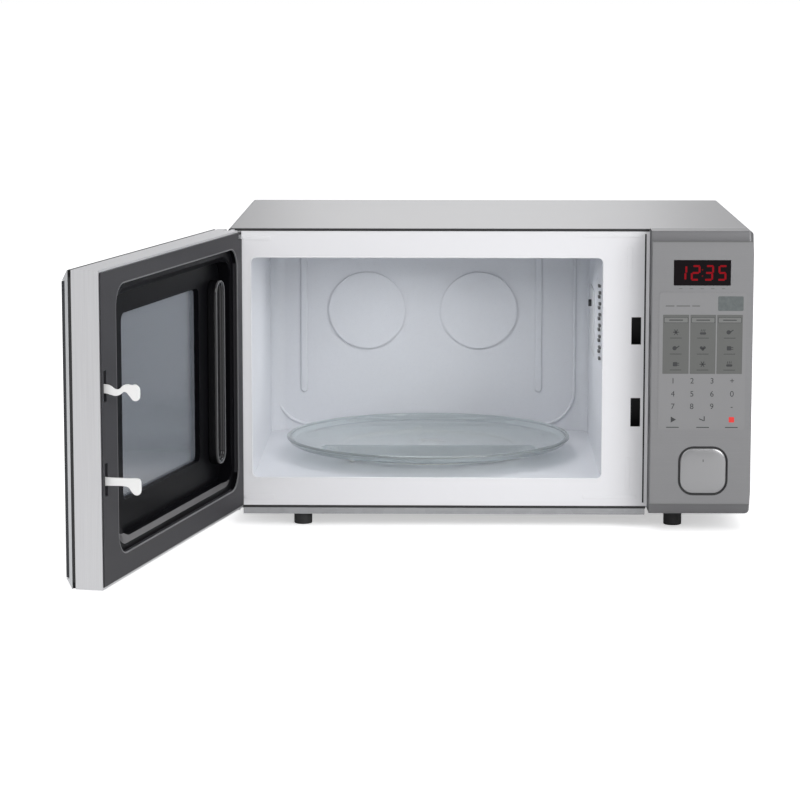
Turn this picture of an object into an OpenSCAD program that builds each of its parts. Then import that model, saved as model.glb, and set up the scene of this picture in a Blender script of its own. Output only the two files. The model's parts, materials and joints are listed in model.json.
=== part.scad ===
// Countertop microwave oven with a side-hinged door, a turntable and a push-button door release.
// X runs to the right, +Y to the back and +Z up. The origin is on the worktop, midway between the four feet.

/* [Cabinet] */
// Width of the cabinet, side to side
cab_w = 540; // [536:1:546]
// Depth of the cabinet, front plate to rear edge
cab_d = 380; // [376:1:390]
// Height of the cabinet's steel box, without its feet
cab_h = 292; // [290:1:296]
// Height of each foot
foot_h = 20; // [19:1:24]
// Thickness of the pressed steel sheet
sheet = 0.8; // [0.8:0.1:1.2]

/* [Oven cavity] */
// Clear width of the cavity
cav_w = 366; // [362:1:367]
// Clear height of the cavity
cav_h = 237; // [230:1:238]
// Clear depth of the cavity
cav_d = 344; // [340:1:346]
// Diameter of the glass tray
tray_d = 312; // [300:1:316]

/* [Door] */
// Thickness of the door
door_t = 36; // [35:1:40]
// Angle at which the door stands open
door_open = 103; // [0:1:108]
// Reach of the latch hooks out of the door's inner face
hook_reach = 33; // [30:1:34]

/* [Control panel] */
// Width of the control panel
panel_w = 104; // [102:1:105]
// Side of the square release button
button_w = 48; // [46:1:53]
// Travel of the release button
button_travel = 4; // [3:0.5:4]

/* [Hidden] */
$fn = 48;
eps = 0.01;
gap = 0.5;                                  // general clearance between separate pieces
run = 0.05;                                 // radial running clearance of a pin in its bore

// Cabinet planes
x_right = cab_w / 2;
x_left = -x_right;
y_front = -cab_d / 2;
y_rear = cab_d / 2;
z_base = foot_h;
z_top = foot_h + cab_h;
plate_back = y_front + sheet;               // back of the front plate
rear_out = y_rear - sheet;                  // outer face of the rear panel
rear_in = rear_out - sheet;

// Feet
foot_r = 9.5;
foot_x = 194;
foot_y = cab_d / 2 - 14;

// Place of the mains cord's gland in the rear panel
gland_x = 230;
gland_z = 60;

// Cavity
cav_x0 = -247;
cav_x1 = cav_x0 + cav_w;
cav_z0 = 47;                                // top of the cavity floor
cav_z1 = cav_z0 + cav_h;
cav_y1 = y_front + sheet + cav_d;           // front face of the cavity's back wall
mouth_z0 = 50;                              // lower lip of the opening
mouth_z1 = 282;

// Right-hand component bay
bay_x0 = cav_x1 + sheet;
seam_x = x_right - panel_w;                 // left edge of the control panel
bay_open_x0 = 176;
bay_open_x1 = 262;
bay_open_z0 = 30;
bay_open_z1 = 302;

// Door, drawn shut and then swung open about its pivot
pivot_x = x_left + 6.5;
pivot_y = y_front - 9;
door_x0 = x_left + 0.5;
door_x1 = seam_x - 1;
door_z0 = z_base + gap;
door_z1 = z_top - 1;
door_in = y_front - gap;                    // inner face
door_out = door_in - door_t;                // outer face
glass_t = 3;
trim_t = 3;
groove_t = 3;
trim_y = door_out + glass_t;
frame_y = trim_y + trim_t + groove_t;       // front of the steel frame
bevel_t = 5.5;
bevel_h = 10.5;
pin_r = 3;
notch_z = door_z1 - 9.5;                    // floor of the notch for the upper hinge arm
notch_y = pivot_y - 9;
hinge_screw_x = [-236, -218];
pan_t = 1.2;                                // front wall of the steel frame
liner_y = frame_y + 2.2;                    // front of the inner frame
window_x0 = pivot_x + 89;
window_x1 = pivot_x + 322;
window_z0 = 84;
window_z1 = 260;
hook_x = pivot_x + 417.5;
hook_t = 3;
hook_z = [105.5, 191.5];                    // lower edge of each latch slot
slot_w = 10;
slot_h = [30, 28.5];

// Turntable
tray_x = (cav_x0 + cav_x1) / 2;
tray_y = -8;
tray_z = 58;                                // underside of the glass tray
ring_r = 103;
ring_turn = 97;                             // angle of the first wheel about the ring
wheel_r = 5.4;
wheel_z = (cav_z0 + tray_z) / 2;
axle_r = 1.5;
shaft_r = 3;

// Control panel
panel_y = y_front - door_t;                 // face of the panel
panel_z0 = z_base - 0.5;
panel_z1 = z_top + 0.5;
face_z0 = panel_z0 + bevel_h + 0.5;
face_z1 = panel_z1 - bevel_h - 0.5;
disp_x0 = 188.5;
disp_x1 = 246.5;
disp_z0 = 257;
disp_z1 = 283;
button_x = 221;
button_z = 65;
button_r = 14;
stem_r = 4;
rib_y = panel_y + 16 + button_travel;       // wall that the button's spring rests on
pcb_y = panel_y + 23;
lever_y = y_front + 20;
lever_z = button_z + 20;
nose_y = lever_y - 11.6;                    // round nose that the button's stem pushes
nose_r = 3;

// Magnetron, fan and transformer places
mag_y = 40;
mag_z = 190;
guide_x1 = bay_x0 + 32;
fan_x = 196;
fan_z = 190;
fan_r = 46;

// ---------------------------------------------------------------- shared shapes

// A box given by its two corners
module block(x0, y0, z0, x1, y1, z1) {
    translate([x0, y0, z0]) cube([x1 - x0, y1 - y0, z1 - z0]);
}

// A rectangle from (x0, y0) to (x1, y1) with rounded corners
module round_rect(x0, y0, x1, y1, r) {
    translate([x0 + r, y0]) square([x1 - x0 - 2 * r, y1 - y0]);
    translate([x0, y0 + r]) square([x1 - x0, y1 - y0 - 2 * r]);
    for (x = [x0 + r, x1 - r], y = [y0 + r, y1 - r]) translate([x, y]) circle(r);
}

// Lifts an XZ outline into a slab that runs from y0 to y1
module slab_y(y0, y1) {
    translate([0, y1, 0]) rotate([90, 0, 0]) linear_extrude(y1 - y0) children();
}

// Lifts a YZ outline into a slab that runs from x0 to x1
module slab_x(x0, x1) {
    translate([x0, 0, 0]) rotate([90, 0, 90]) linear_extrude(x1 - x0) children();
}

// Round bar along Y
module rod_y(x, z, r, y0, y1) {
    translate([x, y1, z]) rotate([90, 0, 0]) cylinder(r = r, h = y1 - y0);
}

// Round bar along X
module rod_x(y, z, r, x0, x1) {
    translate([x0, y, z]) rotate([0, 90, 0]) cylinder(r = r, h = x1 - x0);
}

// Helical wire spring along +Z
module coil(r, wire, length, turns) {
    steps = 14;
    sides = 6;
    last = turns * steps;
    points = [for (i = [0:last]) for (j = [0:sides - 1])
        let (turn = 360 * i / steps, side = 360 * j / sides, reach = r + wire * cos(side))
        [reach * cos(turn), reach * sin(turn), length * i / last + wire * sin(side)]];
    walls = [for (i = [0:last - 1]) for (j = [0:sides - 1])
        let (a = i * sides + j, b = i * sides + (j + 1) % sides)
        each [[a, a + sides, b], [b, a + sides, b + sides]]];
    ends = [for (j = [1:sides - 2]) each [[0, j, j + 1],
        [last * sides, last * sides + j + 1, last * sides + j]]];
    polyhedron(points = points, faces = concat(walls, ends), convexity = 6);
}

// Swings a piece of the door, drawn shut, to where the door stands
module on_door() {
    translate([pivot_x, pivot_y, 0]) rotate([0, 0, -door_open]) translate([-pivot_x, -pivot_y, 0])
        children();
}

// Places its children at the four feet
module at_feet() {
    for (x = [-foot_x, foot_x], y = [-foot_y, foot_y]) translate([x, y, 0]) children();
}

// ---------------------------------------------------------------- steel cabinet

cover_r = 4;
lip = 12;
louvre_pitch = 9;
screw_r = 2;

module cover_outline(inset) {
    difference() {
        round_rect(x_left + inset, z_base - 20, x_right - inset, z_top - inset, cover_r - inset);
        translate([x_left - 1, z_base - 40]) square([cab_w + 2, 40]);
    }
}

// Places its children at the screws along the rear edge of the cover
module cover_screw_places() {
    for (x = [-1, 1], z = [80, 200]) translate([x * (x_right - lip / 2), 0, z]) children();
    for (x = [-180, 0, 180]) translate([x, 0, z_top - lip / 2]) children();
}

module outer_cover() {
    color("silver") difference() {
        slab_y(y_front, y_rear) cover_outline(0);
        translate([0, 0, -eps]) slab_y(y_front - 1, rear_out) cover_outline(sheet);
        slab_y(rear_out - 1, y_rear + 1) square_lip();
        for (i = [0:9]) {
            block(x_right - 3, 60 + i * louvre_pitch, 190, x_right + 1, 63 + i * louvre_pitch, 250);
            block(x_left - 1, 60 + i * louvre_pitch, 190, x_left + 3, 63 + i * louvre_pitch, 250);
        }
        cover_screw_places() rod_y(0, 0, screw_r + run, y_rear - 10, y_rear + 10);
    }
}

module square_lip() {
    translate([x_left + lip, z_base - 1]) square([cab_w - 2 * lip, cab_h - lip + 1]);
}

skirt_h = 8;                                // skirt below the front plate

module base_plate() {
    side = x_right - sheet - 0.3;
    color("gainsboro") difference() {
        union() {
            block(-side, plate_back, z_base, side, rear_in, z_base + sheet);
            for (x = [-side, side - sheet]) block(x, plate_back, z_base, x + sheet, rear_in, z_base + 12);
            block(-side, rear_in - sheet, z_base, side, rear_in, z_base + 12);
            block(x_left + 14, plate_back, z_base - skirt_h, seam_x - 2, plate_back + sheet, z_base + sheet);
        }
        at_feet() translate([0, 0, z_base - 1]) cylinder(r = 4, h = 4);
        for (i = [0:11]) block(30 + i * 6, 60, z_base - 1, 33 + i * 6, 110, z_base + 2);
        for (i = [0:11]) block(-200 + i * 6, 60, z_base - 1, -197 + i * 6, 110, z_base + 2);
        for (x = hinge_screw_x) translate([x, y_front + 25, z_base - 1]) cylinder(r = screw_r + run, h = 3);
        translate([tray_x, tray_y, z_base - 1]) cylinder(r = 28, h = 3);
    }
}

module feet() {
    color("#1c1c1e") at_feet() {
        cylinder(r = foot_r, h = foot_h - 5);
        translate([0, 0, foot_h - 5]) cylinder(r1 = foot_r, r2 = foot_r + 2.5, h = 5);
        translate([0, 0, foot_h - 1]) cylinder(r = 4, h = 6);
    }
}

module rear_panel() {
    side = x_right - sheet - 0.3;
    color("gainsboro") difference() {
        block(-side, rear_in, z_base + gap, side, rear_out, z_top - sheet - 0.3);
        for (i = [-7:7], j = [-7:7]) if (i * i + j * j < 52)
            translate([fan_x + i * 6, rear_in - 1, fan_z + j * 6]) rotate([-90, 0, 0])
                cylinder(r = 2.2, h = 4, $fn = 8);
        for (i = [0:13]) block(-230 + i * 9, rear_in - 1, 240, -226 + i * 9, rear_out + 1, 270);
        rod_y(gland_x, gland_z, 8, rear_in - 1, rear_out + 1);
        cover_screw_places() rod_y(0, 0, screw_r + run, y_rear - 10, y_rear + 10);
    }
}

module cover_screws() {
    color("#b9bcc0") cover_screw_places() {
        rod_y(0, 0, screw_r, rear_in - 4, y_rear + 0.5);
        rod_y(0, 0, 2 * screw_r, y_rear, y_rear + 2.2);
    }
}

module front_plate() {
    side = x_right - sheet - 0.5;
    color("white") slab_y(y_front, plate_back) difference() {
        round_rect(-side, z_base + sheet + 0.2, side, z_top - sheet - 0.7, 3);
        round_rect(cav_x0, mouth_z0, cav_x1, mouth_z1, 6);
        round_rect(bay_open_x0, bay_open_z0, bay_open_x1, bay_open_z1, 4);
        for (i = [0, 1]) translate([hook_x - slot_w / 2 - 1, hook_z[i]]) square([slot_w, slot_h[i]]);
        translate([x_left, notch_z - 1]) square([14, 8]);
    }
}

// ---------------------------------------------------------------- oven cavity

wrap_r = 8;
disc_x = [-136, -7];                        // middles of the two raised discs

module cavity_outline(grow) {
    difference() {
        round_rect(cav_x0 - grow, cav_z0 - 30, cav_x1 + grow, cav_z1 + grow, wrap_r + grow);
        translate([cav_x0 - 10, cav_z0 - 40]) square([cav_w + 20, 40]);
    }
}

module cavity_wrap() {
    color("#dfe6ec") difference() {
        slab_y(plate_back, cav_y1) cavity_outline(sheet);
        translate([0, 0, -eps]) slab_y(plate_back - 1, cav_y1 + 1) cavity_outline(0);
        for (i = [0:12], j = [0:11])
            translate([cav_x1 - 1, y_front + 42 + i * 8, 164 + j * 7.5 + (i % 2) * 3.75]) rotate([0, 90, 0])
                cylinder(r = 1.9, h = 3, $fn = 8);
        for (i = [0:7], j = [0:5])
            translate([cav_x0 - 2, 60 + i * 8, 200 + j * 7.5 + (i % 2) * 3.75]) rotate([0, 90, 0])
                cylinder(r = 1.9, h = 3, $fn = 8);
        block(cav_x1 - 1, mag_y - 35, mag_z - 30, cav_x1 + 2, mag_y + 35, mag_z + 30);
    }
}

module cavity_floor() {
    color("#dfe6ec") difference() {
        block(cav_x0 - sheet, plate_back, cav_z0 - sheet, cav_x1 + sheet, cav_y1, cav_z0);
        translate([tray_x, tray_y, cav_z0 - 2]) cylinder(r = 9, h = 4);
    }
}

module cavity_back() {
    color("#dfe6ec") {
        block(cav_x0 - sheet, cav_y1, cav_z0 - sheet, cav_x1 + sheet, cav_y1 + sheet, cav_z1 + sheet);
        for (x = disc_x) rod_y(x, 187.5, 44, cav_y1 - 3, cav_y1 + 0.5);
    }
}

// ---------------------------------------------------------------- door hinges

arm_z = z_top - 9;                          // underside of the upper hinge arm
arm_t = 2;
lobe_r = 5.2;

module hinge_upper() {
    color("#c9ccd0") difference() {
        union() {
            block(x_left + 3, plate_back, arm_z - 14, x_left + 40, plate_back + 1.5, arm_z + arm_t);
            block(pivot_x - lobe_r, pivot_y, arm_z, pivot_x + lobe_r, plate_back + 1.5, arm_z + arm_t);
            translate([pivot_x, pivot_y, arm_z]) cylinder(r = lobe_r, h = arm_t);
            translate([pivot_x, pivot_y, arm_z - 20]) cylinder(r = pin_r, h = 21);
        }
        for (x = [x_left + 20, x_left + 34]) rod_y(x, arm_z - 8, 2, plate_back - 1, plate_back + 3);
    }
}

module hinge_lower() {
    plate_z = z_base - 2;
    color("#c9ccd0") difference() {
        union() {
            translate([0, 0, plate_z]) linear_extrude(2) {
                round_rect(x_left + 2, y_front + 2, x_left + 62, y_front + 40, 4);
                translate([pivot_x, pivot_y]) circle(lobe_r);
                translate([pivot_x - lobe_r, pivot_y]) square([2 * lobe_r, 20]);
            }
            translate([pivot_x, pivot_y, plate_z]) cylinder(r = pin_r, h = 22);
        }
        for (x = hinge_screw_x) translate([x, y_front + 25, plate_z - 1]) cylinder(r = screw_r + run, h = 4);
    }
}

// ---------------------------------------------------------------- door

chamfer = 4.5;
liner_x0 = door_x0 + 2.2;
liner_x1 = door_x1 - 2.2;
liner_z0 = door_z0 + 2.7;
liner_z1 = door_z1 - 2.7;
recess_x0 = pivot_x + 14;
recess_x1 = pivot_x + 386;
recess_z0 = 44;
recess_z1 = 294;
recess_d = 18;

// Room for the hinge arm in the top of the door, and the corner that clears the cabinet as it swings
module hinge_clearance() {
    block(door_x0 - 1, notch_y, notch_z, pivot_x + 9, door_in + 1, door_z1 + 1);
    translate([0, 0, door_z0 - 1]) linear_extrude(cab_h + 2)
        polygon([[door_x0 - 1, door_in + 1], [door_x0 + chamfer, door_in + 1],
            [door_x0 + chamfer, door_in], [door_x0, door_in - chamfer], [door_x0 - 1, door_in - chamfer]]);
}

// Round bars at the screws that hold the frame to the front trim
module door_screw_places(r, y0, y1) {
    for (x = [door_x0 + 22, (door_x0 + door_x1) / 2, door_x1 - 40], z = [door_z0 + 12, door_z1 - 14])
        rod_y(x, z, r, y0, y1);
}

module pin_bores() {
    translate([pivot_x, pivot_y, door_z0 - 1]) cylinder(r = pin_r + run, h = 22);
    translate([pivot_x, pivot_y, arm_z - 21]) cylinder(r = pin_r + run, h = 30);
}

module door_front_glass() {
    color("#22252a") on_door()
        block(door_x0, door_out, face_z0 + 0.5, door_x1, trim_y, face_z1 - 0.5);
}

module door_front_trim() {
    color("#b7bbc0") on_door() difference() {
        slab_x(door_x0, door_x1) difference() {
            polygon([[trim_y + trim_t, door_z0], [trim_y + trim_t, door_z1], [door_out + bevel_t, door_z1],
                [door_out, door_z1 - bevel_h], [door_out, door_z0 + bevel_h], [door_out + bevel_t, door_z0]]);
            translate([door_out - 1, face_z0]) square([glass_t + 1, face_z1 - face_z0]);
        }
        slab_y(trim_y - 1, frame_y)
            round_rect(window_x0 - 12, window_z0 - 10, window_x1 + 12, window_z1 + 10, 10);
    }
}

rim_w = 48;                                 // width of the spacer rim behind the front trim

module door_frame() {
    color("#9fa3a8") on_door() difference() {
        union() {
            block(door_x0 + 2, trim_y + trim_t, door_z0 + 2, door_x1 - 2, frame_y, door_z1 - 2);
            block(door_x0, frame_y, door_z0, door_x1, door_in - 1, door_z1);
        }
        block(door_x0 + 2, frame_y + pan_t, door_z0 + 2, door_x1 - 2, door_in + 1, door_z1 - 2);
        block(door_x0 + rim_w, trim_y, door_z0 + rim_w, door_x1 - rim_w, frame_y, door_z1 - rim_w);
        slab_y(trim_y, frame_y + 3)
            round_rect(window_x0 - 6, window_z0 - 6, window_x1 + 6, window_z1 + 6, 10);
        hinge_clearance();
        door_screw_places(1.8 + run, trim_y + trim_t + 0.2, frame_y + 3);
        translate([pivot_x, pivot_y, door_z0 - 1]) cylinder(r = pin_r + gap, h = 4);
    }
}

module door_inner_frame() {
    pocket_x0 = hook_x - 6;
    pocket_x1 = hook_x + 6;
    color("#2b2d31") on_door() difference() {
        block(liner_x0, liner_y, liner_z0, liner_x1, door_in, liner_z1);
        slab_y(door_in - 5, door_in + 1) round_rect(recess_x0, recess_z0, recess_x1, recess_z1, 22);
        slab_y(door_in - recess_d, door_in) round_rect(recess_x0 + 8, recess_z0 + 10, recess_x1 - 36,
            recess_z1 - 12, 18);
        slab_y(liner_y - 1, door_in) round_rect(window_x0, window_z0, window_x1, window_z1, 8);
        block(pocket_x0, liner_y - 1, 88, pocket_x1, door_in - 3, 236);
        for (i = [0, 1])
            block(hook_x - 3.5, liner_y, hook_z[i], hook_x + 3.5, door_in + 1, hook_z[i] + slot_h[i]);
        hinge_clearance();
        door_screw_places(4, liner_y - 1, frame_y + 4.5);
        pin_bores();
    }
}

module window_screen() {
    color("#7d858c") on_door() slab_y(frame_y, frame_y + 0.8)
        round_rect(window_x0 - 5, window_z0 - 5, window_x1 + 5, window_z1 + 5, 9.5);
}

module window_inner_pane() {
    color("#9fb0bc", 0.5) on_door() slab_y(liner_y + 0.2, liner_y + 1.7)
        round_rect(window_x0 + 0.3, window_z0 + 0.3, window_x1 - 0.3, window_z1 - 0.3, 7.7);
}

module door_screws() {
    color("#8d9094") on_door() {
        door_screw_places(1.8, trim_y + trim_t + 0.3, frame_y + 3);
        door_screw_places(3.5, frame_y + pan_t, frame_y + 4);
    }
}

hook_y0 = liner_y + 2;
hook_tip = door_in + hook_reach;

// One hook in the YZ plane, its shank leaving the door at z and its barb pointing down
module hook_outline(z, wave) {
    shank = z + 5.5;
    difference() {
        union() {
            translate([hook_y0, shank]) square([hook_tip - 6 - hook_y0, 7]);
            translate([hook_tip - 6, shank + 1.5]) circle(5.5);
            translate([hook_tip - 11.5, z + 1.2]) square([6.5, 8]);
            translate([hook_tip - 8.25, z + 3.6]) circle(2.4);
        }
        translate([hook_tip - 20, shank + 7 + wave]) circle(6);
    }
}

module latch_hook() {
    color("white") on_door() {
        slab_x(hook_x - hook_t / 2, hook_x + hook_t / 2) {
            hook_outline(hook_z[0] + 1, 4.5);
            hook_outline(hook_z[1] + 1, 3);
        }
        block(hook_x - hook_t / 2, hook_y0, 96, hook_x + hook_t / 2, hook_y0 + 6, 214);
    }
}

spring_z0 = 90;
spring_len = 6;

module latch_spring() {
    color("#a9adb2") on_door() translate([hook_x, hook_y0 + 3, spring_z0])
        coil(2.2, 0.35, spring_len - 1, 4);
}

// ---------------------------------------------------------------- latch board and door release

board_x0 = hook_x - 11;
board_x1 = hook_x + 14;
board_y1 = y_front + 40;
ear_x = [204, 229];

module latch_board() {
    color("#26282b") difference() {
        union() {
            block(board_x0, board_y1 - 2.5, 72, board_x1, board_y1, 240);
            block(board_x0, plate_back, 99, board_x0 + 2.5, board_y1, 240);
            block(board_x1 - 2.5, plate_back, 99, board_x1, board_y1, 240);
            block(board_x0, plate_back, 137, board_x1, board_y1, 140);
            block(board_x0, plate_back, 224, board_x1, board_y1, 227);
            block(board_x0, plate_back, hook_z[1] - 6, board_x1, plate_back + 16, hook_z[1] - 1);
            block(board_x0, plate_back, hook_z[0] - 6, board_x1, plate_back + 10, hook_z[0] - 1);
            block(board_x1 - 2.5, board_y1 - 2.5, 72, ear_x[1] + 4, board_y1, 100);
            for (x = ear_x) block(x, lever_y - 6, lever_z - 6, x + 4, board_y1, lever_z + 6);
        }
        rod_x(lever_y, lever_z, shaft_r + run, ear_x[0] - 1, ear_x[1] + 5);
    }
}

module microswitches() {
    color("#3a3f46") for (z = [112, 150, 206]) {
        block(board_x1, y_front + 12, z, board_x1 + 6.5, y_front + 32, z + 12);
        rod_x(y_front + 18, z + 6, 1.5, board_x1 + 6.5, board_x1 + 9);
    }
}

module release_lever() {
    color("#f2f2f0") {
        rod_x(lever_y, lever_z, shaft_r, hook_x - 4, ear_x[1] + 5);
        rod_x(nose_y, button_z, nose_r, button_x - 5, button_x + 5);
        slab_x(button_x - 4, button_x + 4)
            polygon([[nose_y - 1.5, button_z - 2], [nose_y + 2, button_z - 2.2], [lever_y + 3, lever_z],
                [lever_y, lever_z + 2], [lever_y - 2.5, lever_z - 1]]);
        slab_x(hook_x - 3, hook_x + 3)
            polygon([[lever_y - 2, lever_z + 2], [lever_y + 2, lever_z - 2.5], [lever_y + 15, lever_z + 4],
                [lever_y + 15, lever_z + 15], [lever_y + 10, lever_z + 15], [lever_y + 9, lever_z + 7]]);
    }
}

module release_button() {
    half = button_w / 2;
    stem_end = nose_y - nose_r - 0.4;
    color("silver") {
        slab_y(panel_y + 1, panel_y + 10)
            round_rect(button_x - half, button_z - half, button_x + half, button_z + half, button_r);
        slab_y(panel_y - 0.8, panel_y + 1.5) round_rect(button_x - half + 1.5, button_z - half + 1.5,
            button_x + half - 1.5, button_z + half - 1.5, button_r - 1.5);
        slab_y(panel_y - 2, panel_y + 1) round_rect(button_x - half + 4.5, button_z - half + 4.5,
            button_x + half - 4.5, button_z + half - 4.5, button_r - 3);
        rod_y(button_x, button_z, stem_r, panel_y + 9, stem_end);
    }
}

module button_spring() {
    color("#a9adb2") translate([button_x, panel_y + 10.6, button_z]) rotate([-90, 0, 0])
        coil(6, 0.5, rib_y - panel_y - 11.2, 5);
}

// ---------------------------------------------------------------- control panel

module panel_outline(inset, y_in) {
    polygon([[y_in, panel_z0 + inset], [panel_y + bevel_t + inset / 2, panel_z0 + inset],
        [panel_y + 1 + inset, panel_z0 + bevel_h], [panel_y + 1 + inset, panel_z1 - bevel_h],
        [panel_y + bevel_t + inset / 2, panel_z1 - inset], [y_in, panel_z1 - inset]]);
}

module button_hole(y0, y1) {
    half = button_w / 2 + 0.8;
    slab_y(y0, y1)
        round_rect(button_x - half, button_z - half, button_x + half, button_z + half, button_r + 0.8);
}

module control_housing() {
    color("#a5a9ae") difference() {
        union() {
            difference() {
                slab_x(seam_x, x_right) panel_outline(0, y_front);
                slab_x(seam_x + 2, x_right - 2) panel_outline(2, y_front + 1);
            }
            block(seam_x + 1, rib_y, panel_z0 + 1, x_right - 1, rib_y + 2, 104);
            for (x = [seam_x + 4, x_right - 10], z = [114, 294]) rod_y(x + 3, z, 3, panel_y + 2, pcb_y);
        }
        rod_y(button_x, button_z, stem_r + 0.6, rib_y - 1, rib_y + 3);
        button_hole(panel_y - 1, panel_y + 12);
        block(disp_x0, panel_y - 1, disp_z0, disp_x1, panel_y + 6, disp_z1);
    }
}

module control_fascia() {
    color("#b4b8bc") difference() {
        slab_y(panel_y, panel_y + 1) round_rect(seam_x + 0.6, face_z0, x_right - 0.6, face_z1, 1);
        button_hole(panel_y - 1, panel_y + 2);
        block(disp_x0, panel_y - 1, disp_z0, disp_x1, panel_y + 2, disp_z1);
    }
}

module keypad_membrane() {
    color("#9a9ea3") slab_y(panel_y - 0.4, panel_y) round_rect(174, 108, 263, 250, 3);
}

module display_window() {
    color("#180607")
        block(disp_x0 + 0.3, panel_y - 0.3, disp_z0 + 0.3, disp_x1 - 0.3, panel_y + 2.5, disp_z1 - 0.3);
}

module display_module() {
    color("#303236") block(disp_x0 + 2, panel_y + 3.5, disp_z0 + 1, disp_x1 - 2, pcb_y, disp_z1 - 1);
}

module control_pcb() {
    color("#2f6b3f") difference() {
        block(seam_x + 4, pcb_y, 110, x_right - 4, pcb_y + 1.6, 300);
        for (x = [seam_x + 7, x_right - 7], z = [114, 294]) rod_y(x, z, 1.6, pcb_y - 1, pcb_y + 3);
    }
}

module lv_transformer() {
    back = pcb_y + 1.6;
    color("#c8b98c") {
        block(184, back, 132, 216, back + 30, 160);
        block(180, back + 6, 136, 220, back + 24, 156);
    }
}

module relays() {
    back = pcb_y + 1.6;
    color("#2a5da0") for (z = [128, 152, 176]) block(228, back, z, 252, back + 17, z + 18);
    color("#202225") rod_y(200, 190, 7, back, back + 9);
}

// ---------------------------------------------------------------- microwave source

can_r = 19;
mag_far = guide_x1 + 62;                    // outer face of the magnetron's yoke

module magnetron() {
    color("#b9bdc2") {
        block(guide_x1, mag_y - 40, mag_z - 38, guide_x1 + 2, mag_y + 40, mag_z + 38);
        block(mag_far - 2, mag_y - 40, mag_z - 38, mag_far, mag_y + 40, mag_z + 38);
        for (z = [mag_z - 38, mag_z + 36]) block(guide_x1, mag_y - 40, z, mag_far, mag_y + 40, z + 2);
        rod_x(mag_y, mag_z, can_r, guide_x1 + 1, mag_far - 1);
        rod_x(mag_y, mag_z, 8, guide_x1 - 22, guide_x1 + 2);
        translate([guide_x1 - 22, mag_y, mag_z]) sphere(8);
    }
}

function fin_x(i) = guide_x1 + 7 + i * 5.8;

module magnetron_fins() {
    color("#d2d5d8") for (i = [0:8]) difference() {
        block(fin_x(i), mag_y - 36, mag_z - 35.5, fin_x(i) + 0.8, mag_y + 36, mag_z + 35.5);
        rod_x(mag_y, mag_z, can_r, fin_x(i) - 1, fin_x(i) + 2);
    }
}

module magnetron_filter() {
    far = mag_far + 26;
    color("#a8acb1") {
        difference() {
            block(mag_far, mag_y - 28, mag_z - 30, far, mag_y + 28, mag_z + 30);
            block(mag_far - 1, mag_y - 27, mag_z - 29, far - 1, mag_y + 27, mag_z + 29);
        }
        rod_y(mag_far + 13, mag_z, 9, mag_y + 28, mag_y + 36);
    }
}

module waveguide() {
    color("#cfd4d9") difference() {
        block(bay_x0, mag_y - 45, mag_z - 40, guide_x1, mag_y + 45, mag_z + 40);
        block(bay_x0 - 1, mag_y - 43.8, mag_z - 38.8, guide_x1 - 1.2, mag_y + 43.8, mag_z + 38.8);
        rod_x(mag_y, mag_z, 9.5, guide_x1 - 2, guide_x1 + 1);
    }
}

module waveguide_cover() {
    color("#cdbf9a") {
        block(cav_x1 - 0.8, mag_y - 42, mag_z - 36, cav_x1, mag_y + 42, mag_z + 36);
        rod_x(mag_y + 20, mag_z + 17, 3.5, cav_x1 - 3, cav_x1 - 0.5);
    }
}

trans_x = 200;
trans_y = -60;
core_d = 66;

module hv_transformer_core() {
    color("#5b5f66") {
        slab_y(trans_y - core_d / 2, trans_y + core_d / 2) difference() {
            translate([trans_x - 45, z_base + 3]) square([90, 75]);
            for (x = [trans_x - 30, trans_x + 15]) translate([x, z_base + 18]) square([15, 45]);
        }
        block(trans_x - 56, trans_y - 40, z_base + sheet, trans_x + 56, trans_y + 40, z_base + 3);
    }
}

module hv_windings() {
    color("#b0622e") for (z = [z_base + 19, z_base + 42])
        translate([0, 0, z]) linear_extrude(20) difference() {
            round_rect(trans_x - 29.5, trans_y - 47, trans_x + 29.5, trans_y + 47, 12);
            translate([trans_x - 15.5, trans_y - 33.5]) square([31, 67]);
        }
}

cap_x = 160;
cap_y = 92;

module hv_capacitor() {
    color("#c4c8cc") {
        translate([0, 0, z_base + 3]) linear_extrude(82)
            round_rect(cap_x - 26, cap_y - 16, cap_x + 26, cap_y + 16, 15.9);
        for (x = [cap_x - 12, cap_x + 12]) translate([x, cap_y, z_base + 84]) cylinder(r = 3, h = 9);
    }
}

module capacitor_clamp() {
    color("#d7dadd") {
        translate([0, 0, z_base + 40]) linear_extrude(12) difference() {
            round_rect(cap_x - 27.5, cap_y - 17.5, cap_x + 27.5, cap_y + 17.5, 17.4);
            round_rect(cap_x - 26, cap_y - 16, cap_x + 26, cap_y + 16, 15.9);
        }
        block(cap_x - 5, cap_y + 17, z_base + sheet, cap_x + 5, cap_y + 18.5, z_base + 52);
        block(cap_x - 5, cap_y + 17, z_base + sheet, cap_x + 5, cap_y + 30, z_base + sheet + 1.5);
    }
}

module hv_diode() {
    color("#1e2124") rod_x(cap_y, z_base + 78, 3.5, cap_x + 30, cap_x + 44);
    color("#c4c8cc") rod_x(cap_y, z_base + 78, 1, cap_x + 26, cap_x + 31);
}

module thermal_cutout() {
    color("#e4e0d5") {
        rod_x(110, 210, 8, bay_x0, bay_x0 + 7);
        block(bay_x0 + 7, 106, 203, bay_x0 + 15, 107, 208);
        block(bay_x0 + 7, 113, 203, bay_x0 + 15, 114, 208);
    }
}

// ---------------------------------------------------------------- cooling air

fan_y = 128;

module fan_motor() {
    color("#7c8087") {
        block(fan_x - 22, fan_y + 24, fan_z - 24, fan_x + 22, fan_y + 42, fan_z + 24);
        block(fan_x - 14, fan_y + 20, fan_z - 40, fan_x + 14, fan_y + 46, fan_z - 22);
        rod_y(fan_x, fan_z, 2, fan_y, fan_y + 26);
        for (x = [fan_x - 18, fan_x + 18]) rod_y(x, fan_z + 18, 2.5, fan_y + 40, rear_in);
    }
}

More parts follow.
